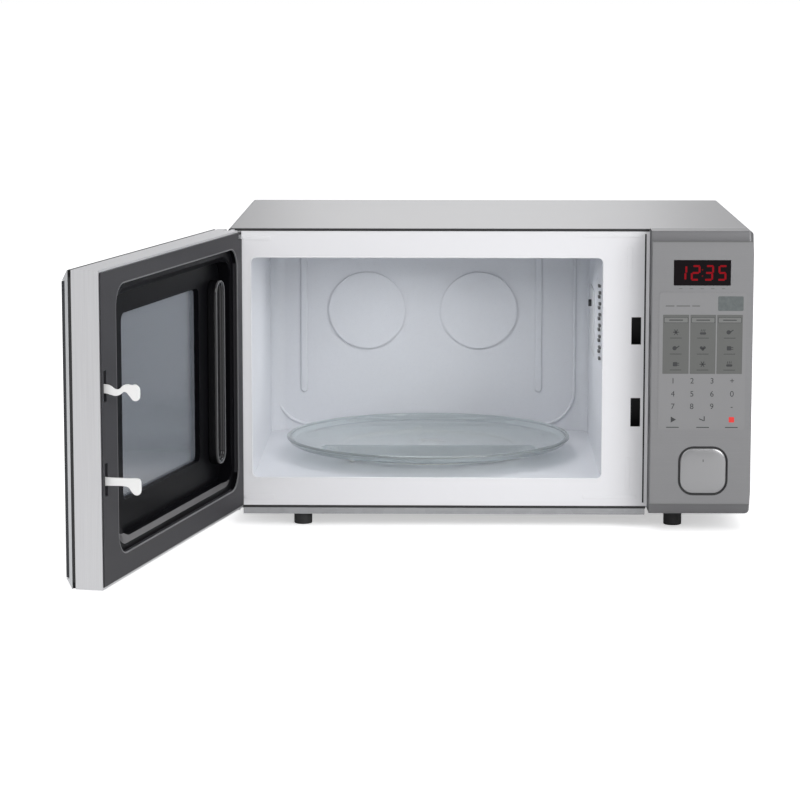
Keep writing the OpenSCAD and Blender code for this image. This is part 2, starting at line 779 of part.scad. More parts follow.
module fan_blade() {
    color("#d8dadb") difference() {
        union() {
            rod_y(fan_x, fan_z, 10, fan_y + 2, fan_y + 14);
            for (i = [0:4]) translate([fan_x, fan_y + 8, fan_z]) rotate([0, i * 72, 0]) rotate([32, 0, 0])
                translate([7, -0.8, -11]) cube([fan_r - 11, 1.6, 22]);
        }
        rod_y(fan_x, fan_z, 2 + run, fan_y, fan_y + 16);
    }
}

module fan_shroud() {
    reach = fan_r + 6;
    color("#3c4046") {
        difference() {
            union() {
                block(fan_x - reach, fan_y - 8, fan_z - reach, fan_x + reach, fan_y - 6, fan_z + reach);
                rod_y(fan_x, fan_z, fan_r + 3, fan_y - 8, fan_y + 18);
            }
            rod_y(fan_x, fan_z, fan_r + 1, fan_y - 9, fan_y + 19);
        }
        for (x = [-1, 1], z = [-1, 1])
            rod_y(fan_x + x * (reach - 5), fan_z + z * (reach - 5), 4, fan_y - 6, rear_in);
    }
}

duct_x1 = bay_x0 + 26;
duct_y0 = y_front + 44.5;
duct_y1 = mag_y - 50;
lamp_y = -95;
lamp_z = 206;
lamp_r = 6.5;

module air_duct() {
    color("#e6e2d6") difference() {
        block(bay_x0, duct_y0 - 4, 152, duct_x1, duct_y1, 262);
        block(bay_x0 - 1, duct_y0 - 2.5, 153.5, duct_x1 - 1.5, duct_y1 + 1, 260.5);
        rod_x(lamp_y, lamp_z, 10.3, duct_x1 - 3, duct_x1 + 1);
    }
}

module oven_lamp() {
    color("#f3efe2") translate([bay_x0 + 4, lamp_y, lamp_z]) rotate([0, 90, 0]) rotate_extrude()
        polygon([[0, 0], [4.5, 0], [8.5, 4], [8.5, 12], [lamp_r, 16], [lamp_r, duct_x1 - bay_x0 - 5],
            [0, duct_x1 - bay_x0 - 5]]);
}

module lamp_holder() {
    color("#d9d4c6") difference() {
        rod_x(lamp_y, lamp_z, 10, duct_x1 - 1.5, duct_x1 + 15);
        rod_x(lamp_y, lamp_z, lamp_r + 0.1, duct_x1 - 2, duct_x1 - 0.9);
    }
}

// ---------------------------------------------------------------- mains wiring parts

module filter_board() {
    board_y = rear_in - 10;
    color("#2f6b3f") block(145, board_y, 250, 262, board_y + 1.6, 302);
    color("#d0a45c") for (x = [160, 182]) rod_y(x, 276, 9, board_y - 12, board_y);
    color("#e2e2e0") for (x = [150, 257], z = [256, 296]) rod_y(x, z, 2.5, board_y + 1.6, rear_in);
}

module mains_fuse() {
    board_y = rear_in - 10;
    color("#dfe5e8") rod_x(board_y - 4, 290, 3, 205, 235);
    color("#c4c8cc") for (x = [207, 229]) block(x, board_y - 8, 285, x + 4, board_y, 295);
}

module cord_gland() {
    color("#1c1c1e") difference() {
        union() {
            rod_y(gland_x, gland_z, 11, rear_out, rear_out + 5);
            rod_y(gland_x, gland_z, 7.9, rear_in - 8, rear_out + 1);
        }
        rod_y(gland_x, gland_z, 4, rear_in - 9, rear_out + 6);
    }
}

// ---------------------------------------------------------------- turntable

module turntable_motor() {
    color("#c9ccd0") translate([tray_x, tray_y, 0]) {
        translate([0, 0, cav_z0 - sheet - 16]) cylinder(r = 25, h = 16);
        translate([0, 0, cav_z0 - 2]) cylinder(r = shaft_r, h = 9);
    }
}

module turntable_coupler() {
    color("#eceade") translate([tray_x, tray_y, 0]) difference() {
        union() {
            translate([0, 0, cav_z0 + 0.6]) cylinder(r = 8, h = tray_z - cav_z0 - 0.6);
            for (i = [0:2]) rotate([0, 0, i * 120]) translate([0, -3, cav_z0 + 5.5])
                cube([17, 6, tray_z - cav_z0 - 5.5]);
        }
        translate([0, 0, cav_z0 - 1]) cylinder(r = shaft_r + run, h = 9.5);
    }
}

module roller_ring() {
    color("#eceade") translate([tray_x, tray_y, 0]) {
        rotate_extrude() translate([ring_r - 8.5, wheel_z - 2]) square([5, 4]);
        for (i = [0:2]) rotate([0, 0, ring_turn + i * 120]) {
            rod_x(0, wheel_z, axle_r, ring_r - 6, ring_r + 4.5);
            rod_x(0, wheel_z, axle_r + 1, ring_r + 3.4, ring_r + 4.8);
        }
    }
}

module roller_wheel(i) {
    color("white") translate([tray_x, tray_y, 0]) rotate([0, 0, ring_turn + (i - 1) * 120]) difference() {
        rod_x(0, wheel_z, wheel_r, ring_r - 3, ring_r + 3);
        rod_x(0, wheel_z, axle_r + run, ring_r - 4, ring_r + 4);
    }
}

module roller_wheel_1() { roller_wheel(1); }
module roller_wheel_2() { roller_wheel(2); }
module roller_wheel_3() { roller_wheel(3); }

module glass_tray() {
    r = tray_d / 2;
    color("#cfe0e6", 0.45) translate([tray_x, tray_y, 0]) rotate_extrude($fn = 96)
        polygon([[0, tray_z], [r - 8, tray_z], [r - 3, tray_z + 2], [r, tray_z + 9], [r - 2, tray_z + 10.5],
            [r - 5, tray_z + 10.5], [r - 9, tray_z + 5], [0, tray_z + 5]]);
}

// ---------------------------------------------------------------- one line per node

outer_cover();
base_plate();
feet();
rear_panel();
cover_screws();
front_plate();
cavity_wrap();
cavity_floor();
cavity_back();
hinge_upper();
hinge_lower();
door_front_glass();
door_front_trim();
door_frame();
door_inner_frame();
window_screen();
window_inner_pane();
door_screws();
latch_hook();
latch_spring();
latch_board();
microswitches();
release_lever();
release_button();
button_spring();
control_housing();
control_fascia();
keypad_membrane();
display_window();
display_module();
control_pcb();
lv_transformer();
relays();
magnetron();
magnetron_fins();
magnetron_filter();
waveguide();
waveguide_cover();
hv_transformer_core();
hv_windings();
hv_capacitor();
capacitor_clamp();
hv_diode();
thermal_cutout();
fan_motor();
fan_blade();
fan_shroud();
air_duct();
oven_lamp();
lamp_holder();
filter_board();
mains_fuse();
cord_gland();
turntable_motor();
turntable_coupler();
roller_ring();
roller_wheel_1();
roller_wheel_2();
roller_wheel_3();
glass_tray();
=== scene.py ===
"""Looks for a countertop microwave oven: its finishes, printed panel, pressed details and studio."""
import json
import math

import bmesh
import bpy
from mathutils import Matrix, Vector


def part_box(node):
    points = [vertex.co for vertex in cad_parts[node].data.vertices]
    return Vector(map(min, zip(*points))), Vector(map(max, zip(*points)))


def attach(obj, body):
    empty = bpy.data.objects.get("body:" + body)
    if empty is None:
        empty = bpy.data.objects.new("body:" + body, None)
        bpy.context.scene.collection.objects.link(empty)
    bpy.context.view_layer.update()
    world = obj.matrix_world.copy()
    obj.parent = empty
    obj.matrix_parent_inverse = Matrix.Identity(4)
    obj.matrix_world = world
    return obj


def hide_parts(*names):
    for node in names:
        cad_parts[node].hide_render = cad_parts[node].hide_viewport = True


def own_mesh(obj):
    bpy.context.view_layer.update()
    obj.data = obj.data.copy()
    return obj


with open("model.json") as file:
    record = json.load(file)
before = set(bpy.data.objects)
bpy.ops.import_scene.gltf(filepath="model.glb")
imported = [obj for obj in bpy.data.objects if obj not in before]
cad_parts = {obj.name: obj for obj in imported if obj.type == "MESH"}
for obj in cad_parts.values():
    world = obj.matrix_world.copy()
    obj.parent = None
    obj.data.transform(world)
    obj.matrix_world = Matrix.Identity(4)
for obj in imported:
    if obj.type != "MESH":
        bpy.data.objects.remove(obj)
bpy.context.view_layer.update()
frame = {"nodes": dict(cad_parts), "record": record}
MM = 0.001

# ------------------------------------------------------------------ places taken from the frame

joints = {joint["name"]: joint for joint in frame["record"]["behaviour"]["joints"]}
door_pivot = Vector(joints["door_hinge"]["pos_m"])
door_angle = math.radians(joints["door_hinge"]["range_deg"][1])
turn_centre = Vector(joints["turntable_spin"]["pos_m"])
SWING = (Matrix.Translation(door_pivot) @ Matrix.Rotation(-door_angle, 4, "Z")
         @ Matrix.Translation(-door_pivot))
SHUT = SWING.inverted()


def corners(node):
    """Lowest and highest corner of a node, as vectors."""
    low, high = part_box(node)
    return Vector(low), Vector(high)


def shut_corners(node):
    """Lowest and highest corner of a door node, as it lies with the door shut."""
    points = [SHUT @ vertex.co for vertex in frame["nodes"][node].data.vertices]
    return (Vector([min(p[i] for p in points) for i in range(3)]),
            Vector([max(p[i] for p in points) for i in range(3)]))


cover_low, cover_high = corners("outer_cover")
plate_low, plate_high = corners("front_plate")
wrap_low, wrap_high = corners("cavity_wrap")
floor_high = corners("cavity_floor")[1]
fascia_low, fascia_high = corners("control_fascia")
film_low, film_high = corners("keypad_membrane")
lens_low, lens_high = corners("display_window")
button_low, button_high = corners("release_button")
tray_low, tray_high = corners("glass_tray")

# ------------------------------------------------------------------ modelling helpers


def deselect_all():
    bpy.ops.object.select_all(action="DESELECT")


def make_active(piece):
    deselect_all()
    piece.select_set(True)
    bpy.context.view_layer.objects.active = piece


def settle(piece):
    """Moves the object's place, turn and size into its mesh."""
    make_active(piece)
    bpy.ops.object.transform_apply(location=True, rotation=True, scale=True)
    return piece


def named(name):
    piece = bpy.context.object
    piece.name = name
    return piece


def block(name, low, high):
    """A box between two corners."""
    deselect_all()
    low, high = Vector(low), Vector(high)
    bpy.ops.mesh.primitive_cube_add(size=1, location=(low + high) / 2)
    piece = named(name)
    piece.scale = high - low
    return settle(piece)


def tube(name, centre, radius, depth, axis="Z", sides=48):
    """A round bar about a centre, along X, Y or Z."""
    deselect_all()
    turn = {"X": (0, math.pi / 2, 0), "Y": (math.pi / 2, 0, 0), "Z": (0, 0, 0)}[axis]
    bpy.ops.mesh.primitive_cylinder_add(vertices=sides, radius=radius, depth=depth, location=centre, rotation=turn)
    return settle(named(name))


def choose(piece, test, kind="FACE"):
    """In edit mode, selects the faces or edges that pass a test of their centre and normal or direction."""
    bpy.ops.mesh.select_mode(type=kind)
    bpy.ops.mesh.select_all(action="DESELECT")
    shape = bmesh.from_edit_mesh(piece.data)
    if kind == "FACE":
        for face in shape.faces:
            face.select_set(test(face.calc_center_median(), face.normal))
    else:
        for edge in shape.edges:
            first, last = (v.co for v in edge.verts)
            edge.select_set(test((first + last) / 2, (last - first).normalized()))
    shape.select_flush_mode()
    bmesh.update_edit_mesh(piece.data)


def edit(piece):
    make_active(piece)
    bpy.ops.object.mode_set(mode="EDIT")


def leave_edit():
    bpy.ops.object.mode_set(mode="OBJECT")


def round_corners(piece, radius, along="Y", segments=8, test=None):
    """Rounds the edges of a piece that run along one axis."""
    way = {"X": Vector((1, 0, 0)), "Y": Vector((0, 1, 0)), "Z": Vector((0, 0, 1))}[along]
    edit(piece)
    choose(piece, lambda centre, line: abs(line.dot(way)) > 0.9 and (test is None or test(centre)), "EDGE")
    bpy.ops.mesh.bevel(offset=radius, segments=segments, affect="EDGES")
    leave_edit()
    return piece


def soften(piece, width, segments=2, angle=35):
    """Bevels the sharp edges and smooths the shading."""
    make_active(piece)
    bevel = piece.modifiers.new("edges", "BEVEL")
    bevel.width = width
    bevel.segments = segments
    bevel.limit_method = "ANGLE"
    bevel.angle_limit = math.radians(angle)
    bevel.harden_normals = False
    bpy.ops.object.modifier_apply(modifier=bevel.name)
    bpy.ops.object.shade_smooth_by_angle(angle=math.radians(40))
    shading = piece.modifiers.new("flat faces", "WEIGHTED_NORMAL")
    shading.keep_sharp = True
    bpy.ops.object.modifier_apply(modifier=shading.name)
    return piece


def carve(piece, cutter):
    """Cuts one shape out of another and removes the cutter."""
    make_active(piece)
    cut = piece.modifiers.new("cut", "BOOLEAN")
    cut.operation = "DIFFERENCE"
    cut.solver = "EXACT"
    cut.object = cutter
    bpy.ops.object.modifier_apply(modifier=cut.name)
    bpy.data.objects.remove(cutter)
    return piece


def merged_copy(node, name):
    """A clean copy of a node's mesh, with its triangles merged back into flat faces."""
    piece = bpy.data.objects.new(name, frame["nodes"][node].data.copy())
    bpy.context.collection.objects.link(piece)
    piece.data.materials.clear()
    edit(piece)
    bpy.ops.mesh.select_all(action="SELECT")
    bpy.ops.mesh.remove_doubles(threshold=1e-6)
    bpy.ops.mesh.dissolve_limited(angle_limit=math.radians(0.5))
    leave_edit()
    return piece


def mesh_piece(name, points, edges, faces):
    """A piece from its points, its edges and its faces."""
    mesh = bpy.data.meshes.new(name)
    mesh.from_pydata(points, edges, faces)
    piece = bpy.data.objects.new(name, mesh)
    bpy.context.collection.objects.link(piece)
    return piece


def smooth_shade(piece, angle):
    make_active(piece)
    bpy.ops.object.shade_smooth_by_angle(angle=math.radians(angle))
    return piece


def join(name, pieces):
    deselect_all()
    for piece in pieces:
        piece.select_set(True)
    bpy.context.view_layer.objects.active = pieces[0]
    if len(pieces) > 1:
        bpy.ops.object.join()
    return named(name)


def copy_piece(piece, name, shift=(0, 0, 0), turn=None):
    """A copy with its own mesh, moved and turned in its mesh."""
    twin = piece.copy()
    twin.data = piece.data.copy()
    twin.name = name
    bpy.context.collection.objects.link(twin)
    twin.data.transform(Matrix.Translation(shift) @ (turn or Matrix.Identity(4)))
    return twin


def fit(piece, material, body, slot, *nodes):
    """Gives a finished piece its material, its body and the nodes that it stands for."""
    piece.data.materials.clear()
    piece.data.materials.append(material)
    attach(piece, body)
    if nodes:
        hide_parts(*nodes)
    return piece


def finish_node(node, material):
    """Gives a CAD node that keeps its shape a better material."""
    mesh = frame["nodes"][node].data
    if not mesh.materials:
        mesh.materials.append(material)
    for i in range(len(mesh.materials)):
        mesh.materials[i] = material


def softened_node(node, name, width, material, body, segments=2):
    """A node's own shape with its sharp edges rounded over."""
    return fit(soften(merged_copy(node, name), width, segments), material, body, node, node)


# ------------------------------------------------------------------ shader node groups


def new_group(name, inputs, outputs):
    """An empty shader node group with named sockets."""
    group = bpy.data.node_groups.new(name, "ShaderNodeTree")
    for label, kind, value in inputs:
        socket = group.interface.new_socket(label, in_out="INPUT", socket_type=kind)
        if value is not None:
            socket.default_value = value
    for label, kind in outputs:
        group.interface.new_socket(label, in_out="OUTPUT", socket_type=kind)
    return group, group.nodes.new("NodeGroupInput"), group.nodes.new("NodeGroupOutput")


def math_node(tree, operation, first, second=None):
    node = tree.nodes.new("ShaderNodeMath")
    node.operation = operation
    for socket, value in zip(node.inputs, (first, second)):
        if value is None:
            continue
        if isinstance(value, bpy.types.NodeSocket):
            tree.links.new(value, socket)
        else:
            socket.default_value = value
    return node.outputs[0]


def mix_node(tree, factor, first, second, blend="MIX"):
    node = tree.nodes.new("ShaderNodeMix")
    node.data_type = "RGBA"
    node.blend_type = blend
    for socket, value in ((node.inputs[0], factor), (node.inputs[6], first), (node.inputs[7], second)):
        if isinstance(value, bpy.types.NodeSocket):
            tree.links.new(value, socket)
        else:
            socket.default_value = value
    return node.outputs[2]


def noise_node(tree, vector, scale, detail=2.0):
    node = tree.nodes.new("ShaderNodeTexNoise")
    tree.links.new(vector, node.inputs["Vector"])
    if isinstance(scale, bpy.types.NodeSocket):
        tree.links.new(scale, node.inputs["Scale"])
    else:
        node.inputs["Scale"].default_value = scale
    node.inputs["Detail"].default_value = detail
    return node.outputs["Fac"]


FLOAT, COLOUR, VECTOR = "NodeSocketFloat", "NodeSocketColor", "NodeSocketVector"


def brushed_group():
    """Fine parallel lines in one direction, over a slow cloudy change of tone."""
    group, inlet, outlet = new_group("Brushed Lines", [
        ("Vector", VECTOR, None), ("Line Vector", VECTOR, None), ("Dark", COLOUR, (0.3, 0.3, 0.3, 1)),
        ("Light", COLOUR, (0.6, 0.6, 0.6, 1)), ("Roughness", FLOAT, 0.3), ("Spread", FLOAT, 0.15)],
        [("Colour", COLOUR), ("Roughness", FLOAT), ("Height", FLOAT)])
    lines = noise_node(group, inlet.outputs["Line Vector"], 1.0, 3.0)
    clouds = noise_node(group, inlet.outputs["Vector"], 7.0, 2.0)
    tone = math_node(group, "ADD", math_node(group, "MULTIPLY", lines, 0.7), math_node(group, "MULTIPLY", clouds, 0.3))
    colour = mix_node(group, tone, inlet.outputs["Dark"], inlet.outputs["Light"])
    swing = math_node(group, "MULTIPLY", math_node(group, "SUBTRACT", tone, 0.5), inlet.outputs["Spread"])
    rough = math_node(group, "ADD", inlet.outputs["Roughness"], swing)
    group.links.new(colour, outlet.inputs["Colour"])
    group.links.new(rough, outlet.inputs["Roughness"])
    group.links.new(lines, outlet.inputs["Height"])
    return group


def mottle_group():
    """A fine grain and a slow cloudiness, for enamel, moulded plastic and rubber."""
    group, inlet, outlet = new_group("Fine Mottle", [
        ("Vector", VECTOR, None), ("Grain Scale", FLOAT, 900.0), ("Cloud Scale", FLOAT, 12.0),
        ("Dark", COLOUR, (0.3, 0.3, 0.3, 1)), ("Light", COLOUR, (0.6, 0.6, 0.6, 1)),
        ("Roughness", FLOAT, 0.4), ("Spread", FLOAT, 0.1)],
        [("Colour", COLOUR), ("Roughness", FLOAT), ("Height", FLOAT)])
    grain = noise_node(group, inlet.outputs["Vector"], inlet.outputs["Grain Scale"], 2.0)
    clouds = noise_node(group, inlet.outputs["Vector"], inlet.outputs["Cloud Scale"], 3.0)
    tone = math_node(group, "ADD", math_node(group, "MULTIPLY", grain, 0.35), math_node(group, "MULTIPLY", clouds, 0.65))
    colour = mix_node(group, tone, inlet.outputs["Dark"], inlet.outputs["Light"])
    swing = math_node(group, "MULTIPLY", math_node(group, "SUBTRACT", clouds, 0.5), inlet.outputs["Spread"])
    rough = math_node(group, "ADD", inlet.outputs["Roughness"], swing)
    group.links.new(colour, outlet.inputs["Colour"])
    group.links.new(rough, outlet.inputs["Roughness"])
    group.links.new(grain, outlet.inputs["Height"])
    return group


def speckle_group():
    """Small scattered flecks, as a mask."""
    group, inlet, outlet = new_group("Flecks", [
        ("Vector", VECTOR, None), ("Scale", FLOAT, 500.0), ("Amount", FLOAT, 0.2)], [("Mask", FLOAT)])
    cells = group.nodes.new("ShaderNodeTexVoronoi")
    group.links.new(inlet.outputs["Vector"], cells.inputs["Vector"])
    group.links.new(inlet.outputs["Scale"], cells.inputs["Scale"])
    near = math_node(group, "LESS_THAN", cells.outputs["Distance"], inlet.outputs["Amount"])
    group.links.new(near, outlet.inputs["Mask"])
    return group


BRUSHED = brushed_group()
MOTTLE = mottle_group()
FLECKS = speckle_group()


def start_material(name):
    """A material with its shader and an object-coordinate socket."""
    material = bpy.data.materials.new(name)
    material.use_nodes = True
    tree = material.node_tree
    place = tree.nodes.new("ShaderNodeTexCoord").outputs["Object"]
    return material, tree, tree.nodes["Principled BSDF"], place


def place_group(tree, group, links, values):
    node = tree.nodes.new("ShaderNodeGroup")
    node.node_tree = group
    for label, source in links.items():
        tree.links.new(source, node.inputs[label])
    for label, value in values.items():
        node.inputs[label].default_value = value
    return node


def stretch(tree, vector, scale, turn=(0, 0, 0)):
    node = tree.nodes.new("ShaderNodeMapping")
    tree.links.new(vector, node.inputs["Vector"])
    node.inputs["Scale"].default_value = scale
    node.inputs["Rotation"].default_value = turn
    return node.outputs["Vector"]


def bump(tree, shader, height, strength, distance=0.0002):
    node = tree.nodes.new("ShaderNodeBump")
    node.inputs["Strength"].default_value = strength
    node.inputs["Distance"].default_value = distance
    tree.links.new(height, node.inputs["Height"])
    tree.links.new(node.outputs["Normal"], shader.inputs["Normal"])


def rgba(colour, factor=1.0):
    return tuple(min(1.0, c * factor) for c in colour[:3]) + (1.0,)


def brushed_steel(name, colour, line_scale, roughness=0.34, spread=0.2, contrast=0.16, turn=0.0):
    """Stainless steel brushed in one direction: the axis with the small scale runs along the lines."""
    material, tree, shader, place = start_material(name)
    lines = stretch(tree, place, line_scale, (0, 0, turn))
    grain = place_group(tree, BRUSHED, {"Vector": place, "Line Vector": lines}, {
        "Dark": rgba(colour, 1 - contrast), "Light": rgba(colour, 1 + contrast),
        "Roughness": roughness, "Spread": spread})
    tree.links.new(grain.outputs["Colour"], shader.inputs["Base Color"])
    tree.links.new(grain.outputs["Roughness"], shader.inputs["Roughness"])
    shader.inputs["Metallic"].default_value = 1.0
    bump(tree, shader, grain.outputs["Height"], 0.12, 0.0001)
    return material


def mottled(name, colour, roughness, spread=0.08, contrast=0.04, grain=900.0, clouds=12.0, depth=0.1,
            metallic=0.0, coat=0.0, distance=0.0001):
    """Enamel, plastic, rubber or plated metal with a fine grain."""
    material, tree, shader, place = start_material(name)
    grainy = place_group(tree, MOTTLE, {"Vector": place}, {
        "Grain Scale": grain, "Cloud Scale": clouds, "Dark": rgba(colour, 1 - contrast),
        "Light": rgba(colour, 1 + contrast), "Roughness": roughness, "Spread": spread})
    tree.links.new(grainy.outputs["Colour"], shader.inputs["Base Color"])
    tree.links.new(grainy.outputs["Roughness"], shader.inputs["Roughness"])
    shader.inputs["Metallic"].default_value = metallic
    shader.inputs["Coat Weight"].default_value = coat
    bump(tree, shader, grainy.outputs["Height"], depth, distance)
    return material


def flecked_enamel(name, colour, fleck, roughness, amount):
    """Oven enamel with faint flecks."""
    material, tree, shader, place = start_material(name)
    grainy = place_group(tree, MOTTLE, {"Vector": place}, {
        "Grain Scale": 240.0, "Cloud Scale": 6.0, "Dark": rgba(colour, 0.96), "Light": rgba(colour, 1.04),
        "Roughness": roughness, "Spread": 0.1})
    mask = place_group(tree, FLECKS, {"Vector": place}, {"Scale": 420.0, "Amount": amount})
    part = math_node(tree, "MULTIPLY", mask.outputs["Mask"], 0.35)
    tree.links.new(mix_node(tree, part, grainy.outputs["Colour"], rgba(fleck)), shader.inputs["Base Color"])
    tree.links.new(grainy.outputs["Roughness"], shader.inputs["Roughness"])
    bump(tree, shader, grainy.outputs["Height"], 0.06, 0.0002)
    return material


def striped(name, first, second, pitch, roughness, metallic, direction="Z", turn=0.0):
    """Laminations or windings: narrow bands across one axis, darker between them."""
    material, tree, shader, place = start_material(name)
    wave = tree.nodes.new("ShaderNodeTexWave")
    wave.wave_type = "BANDS"
    wave.bands_direction = direction
    wave.inputs["Scale"].default_value = 0.314 / pitch
    wave.inputs["Distortion"].default_value = 0.4
    tree.links.new(stretch(tree, place, (1, 1, 1), (0, 0, turn)), wave.inputs["Vector"])
    clouds = noise_node(tree, place, 60.0, 3.0)
    tone = math_node(tree, "MULTIPLY", wave.outputs["Fac"], math_node(tree, "ADD", clouds, 0.4))
    tree.links.new(mix_node(tree, tone, rgba(first), rgba(second)), shader.inputs["Base Color"])
    rough = math_node(tree, "ADD", math_node(tree, "MULTIPLY", clouds, 0.2), roughness)
    tree.links.new(rough, shader.inputs["Roughness"])
    shader.inputs["Metallic"].default_value = metallic
    bump(tree, shader, wave.outputs["Fac"], 0.5, 0.0002)
    return material


def spangled_zinc(name, colour):
    """Galvanised sheet: large crystals that differ a little in tone and gloss."""
    material, tree, shader, place = start_material(name)
    cells = tree.nodes.new("ShaderNodeTexVoronoi")
    cells.inputs["Scale"].default_value = 90.0
    tree.links.new(place, cells.inputs["Vector"])
    tone = tree.nodes.new("ShaderNodeSeparateColor")
    tree.links.new(cells.outputs["Color"], tone.inputs["Color"])
    clouds = noise_node(tree, place, 9.0, 3.0)
    mixed = math_node(tree, "ADD", math_node(tree, "MULTIPLY", tone.outputs["Red"], 0.5),
                      math_node(tree, "MULTIPLY", clouds, 0.5))
    tree.links.new(mix_node(tree, mixed, rgba(colour, 0.86), rgba(colour, 1.1)), shader.inputs["Base Color"])
    rough = math_node(tree, "ADD", math_node(tree, "MULTIPLY", mixed, 0.22), 0.3)
    tree.links.new(rough, shader.inputs["Roughness"])
    shader.inputs["Metallic"].default_value = 0.9
    bump(tree, shader, clouds, 0.05)
    return material


def glass(name, colour, roughness, transmission, grain=60.0):
    """Glass with a faint unevenness in its surface."""
    material, tree, shader, place = start_material(name)
    clouds = noise_node(tree, place, grain, 2.0)
    tree.links.new(mix_node(tree, clouds, rgba(colour, 0.97), rgba(colour, 1.03)), shader.inputs["Base Color"])
    rough = math_node(tree, "ADD", math_node(tree, "MULTIPLY", clouds, roughness), roughness / 2)
    tree.links.new(rough, shader.inputs["Roughness"])
    shader.inputs["Transmission Weight"].default_value = transmission
    shader.inputs["IOR"].default_value = 1.5
    bump(tree, shader, clouds, 0.03)
    return material


def let_light_through(material, share):
    """Lets part of the lamps' light pass straight through a glass to what lies under it."""
    tree = material.node_tree
    shadow = tree.nodes.new("ShaderNodeLightPath").outputs["Is Shadow Ray"]
    solid = math_node(tree, "SUBTRACT", 1.0, math_node(tree, "MULTIPLY", shadow, share))
    tree.links.new(solid, tree.nodes["Principled BSDF"].inputs["Alpha"])


def circuit_board(name):
    """Green lacquer with copper tracks and pads under it."""
    material, tree, shader, place = start_material(name)
    tracks = tree.nodes.new("ShaderNodeTexBrick")
    tracks.inputs["Scale"].default_value = 120.0
    tracks.inputs["Mortar Size"].default_value = 0.06
    tracks.inputs["Color1"].default_value = (0.02, 0.12, 0.05, 1)
    tracks.inputs["Color2"].default_value = (0.025, 0.15, 0.06, 1)
    tracks.inputs["Mortar"].default_value = (0.10, 0.30, 0.12, 1)
    tree.links.new(stretch(tree, place, (1, 1, 1), (math.pi / 2, 0, 0)), tracks.inputs["Vector"])
    mask = place_group(tree, FLECKS, {"Vector": place}, {"Scale": 260.0, "Amount": 0.16})
    tree.links.new(mix_node(tree, mask.outputs["Mask"], tracks.outputs["Color"], (0.62, 0.60, 0.56, 1)),
                   shader.inputs["Base Color"])
    rough = math_node(tree, "ADD", math_node(tree, "MULTIPLY", mask.outputs["Mask"], -0.1), 0.38)
    tree.links.new(rough, shader.inputs["Roughness"])
    bump(tree, shader, tracks.outputs["Fac"], 0.2)
    return material


def perforated(name, colour):
    """Painted steel sheet with a close pattern of round holes, on the door's own plane."""
    pitch = 2.0 * MM
    material, tree, shader, place = start_material(name)
    flat = stretch(tree, place, (1, 1, 1), (0, 0, door_angle))
    parts = tree.nodes.new("ShaderNodeSeparateXYZ")
    tree.links.new(flat, parts.inputs["Vector"])
    along = math_node(tree, "DIVIDE", parts.outputs["X"], pitch)
    up = math_node(tree, "DIVIDE", parts.outputs["Z"], pitch * 0.866)
    row = math_node(tree, "FLOOR", up)
    shifted = math_node(tree, "ADD", along, math_node(tree, "MULTIPLY", math_node(tree, "MODULO", row, 2.0), 0.5))
    across = math_node(tree, "SUBTRACT", math_node(tree, "FRACT", shifted), 0.5)
    above = math_node(tree, "MULTIPLY", math_node(tree, "SUBTRACT", math_node(tree, "FRACT", up), 0.5), 0.866)
    reach = math_node(tree, "ADD", math_node(tree, "POWER", across, 2.0), math_node(tree, "POWER", above, 2.0))
    metal = math_node(tree, "GREATER_THAN", reach, 0.09)
    tree.links.new(metal, shader.inputs["Alpha"])
    grainy = place_group(tree, MOTTLE, {"Vector": place}, {
        "Dark": rgba(colour, 0.92), "Light": rgba(colour, 1.08), "Roughness": 0.45, "Spread": 0.1})
    tree.links.new(grainy.outputs["Colour"], shader.inputs["Base Color"])
    tree.links.new(grainy.outputs["Roughness"], shader.inputs["Roughness"])
    return material


def glowing(name, colour, strength):
    """Lit display segments, brighter in their middles."""
    material, tree, shader, place = start_material(name)
    clouds = noise_node(tree, place, 300.0, 1.0)
    tree.links.new(mix_node(tree, clouds, rgba(colour, 0.8), rgba(colour, 1.2)), shader.inputs["Emission Color"])
    shader.inputs["Emission Strength"].default_value = strength
    shader.inputs["Base Color"].default_value = rgba(colour, 0.3)
    shader.inputs["Specular IOR Level"].default_value = 0.05
    shader.inputs["Roughness"].default_value = 0.5
    return material


# ------------------------------------------------------------------ the oven's finishes

cover_steel = brushed_steel("cover brushed steel", (0.39, 0.39, 0.395), (6, 900, 900), 0.34, 0.16, 0.1)
end_steel = brushed_steel("door edge brushed steel", (0.69, 0.69, 0.70), (900, 900, 12), 0.42, 0.16, 0.12)
trim_steel = brushed_steel("door trim steel", (0.60, 0.61, 0.62), (500, 500, 8), 0.3, 0.15, 0.1)
fascia_steel = brushed_steel("panel satin steel", (0.27, 0.27, 0.275), (10, 900, 900), 0.46, 0.14, 0.07)
silver_lacquer = mottled("silver lacquer", (0.25, 0.25, 0.255), 0.4, 0.08, 0.05, 2600, 9, 0.06, 0.75, 0.2)
# A darker copy of the silver lacquer: painted shade for the panel's top and bottom bevels.
painted_shade_lacquer = mottled("silver lacquer with painted shade", (0.16, 0.16, 0.165), 0.42, 0.08, 0.05, 2600, 9, 0.06, 0.7, 0.1)
button_silver = mottled("button silver", (0.33, 0.33, 0.335), 0.3, 0.06, 0.04, 2600, 9, 0.04, 0.8, 0.4)
white_enamel = mottled("white gloss enamel", (0.79, 0.79, 0.81), 0.24, 0.08, 0.015, 260, 5, 0.06, 0.0, 0.3, 0.0002)
cavity_enamel = flecked_enamel("cavity enamel", (0.72, 0.735, 0.77), (0.58, 0.60, 0.65), 0.3, 0.16)
liner_plastic = mottled("door liner plastic", (0.030, 0.029, 0.033), 0.5, 0.08, 0.1, 700, 8, 0.05, 0.0, 0.0)
# Near-black with almost no sheen, for inside the well: painted shade in the recess.
liner_well_shade = mottled("door liner well, painted shade black", (0.004, 0.004, 0.005), 0.3, 0.06, 0.1, 700, 8, 0.02, 0.0, 0.0)
# Lighter brownish tone for the well's upward-facing bottom slope: painted light.
liner_lit_slope = mottled("door liner slope, painted light", (0.045, 0.041, 0.043), 0.4, 0.08, 0.2, 300, 12, 0.05, 0.0, 0.0)
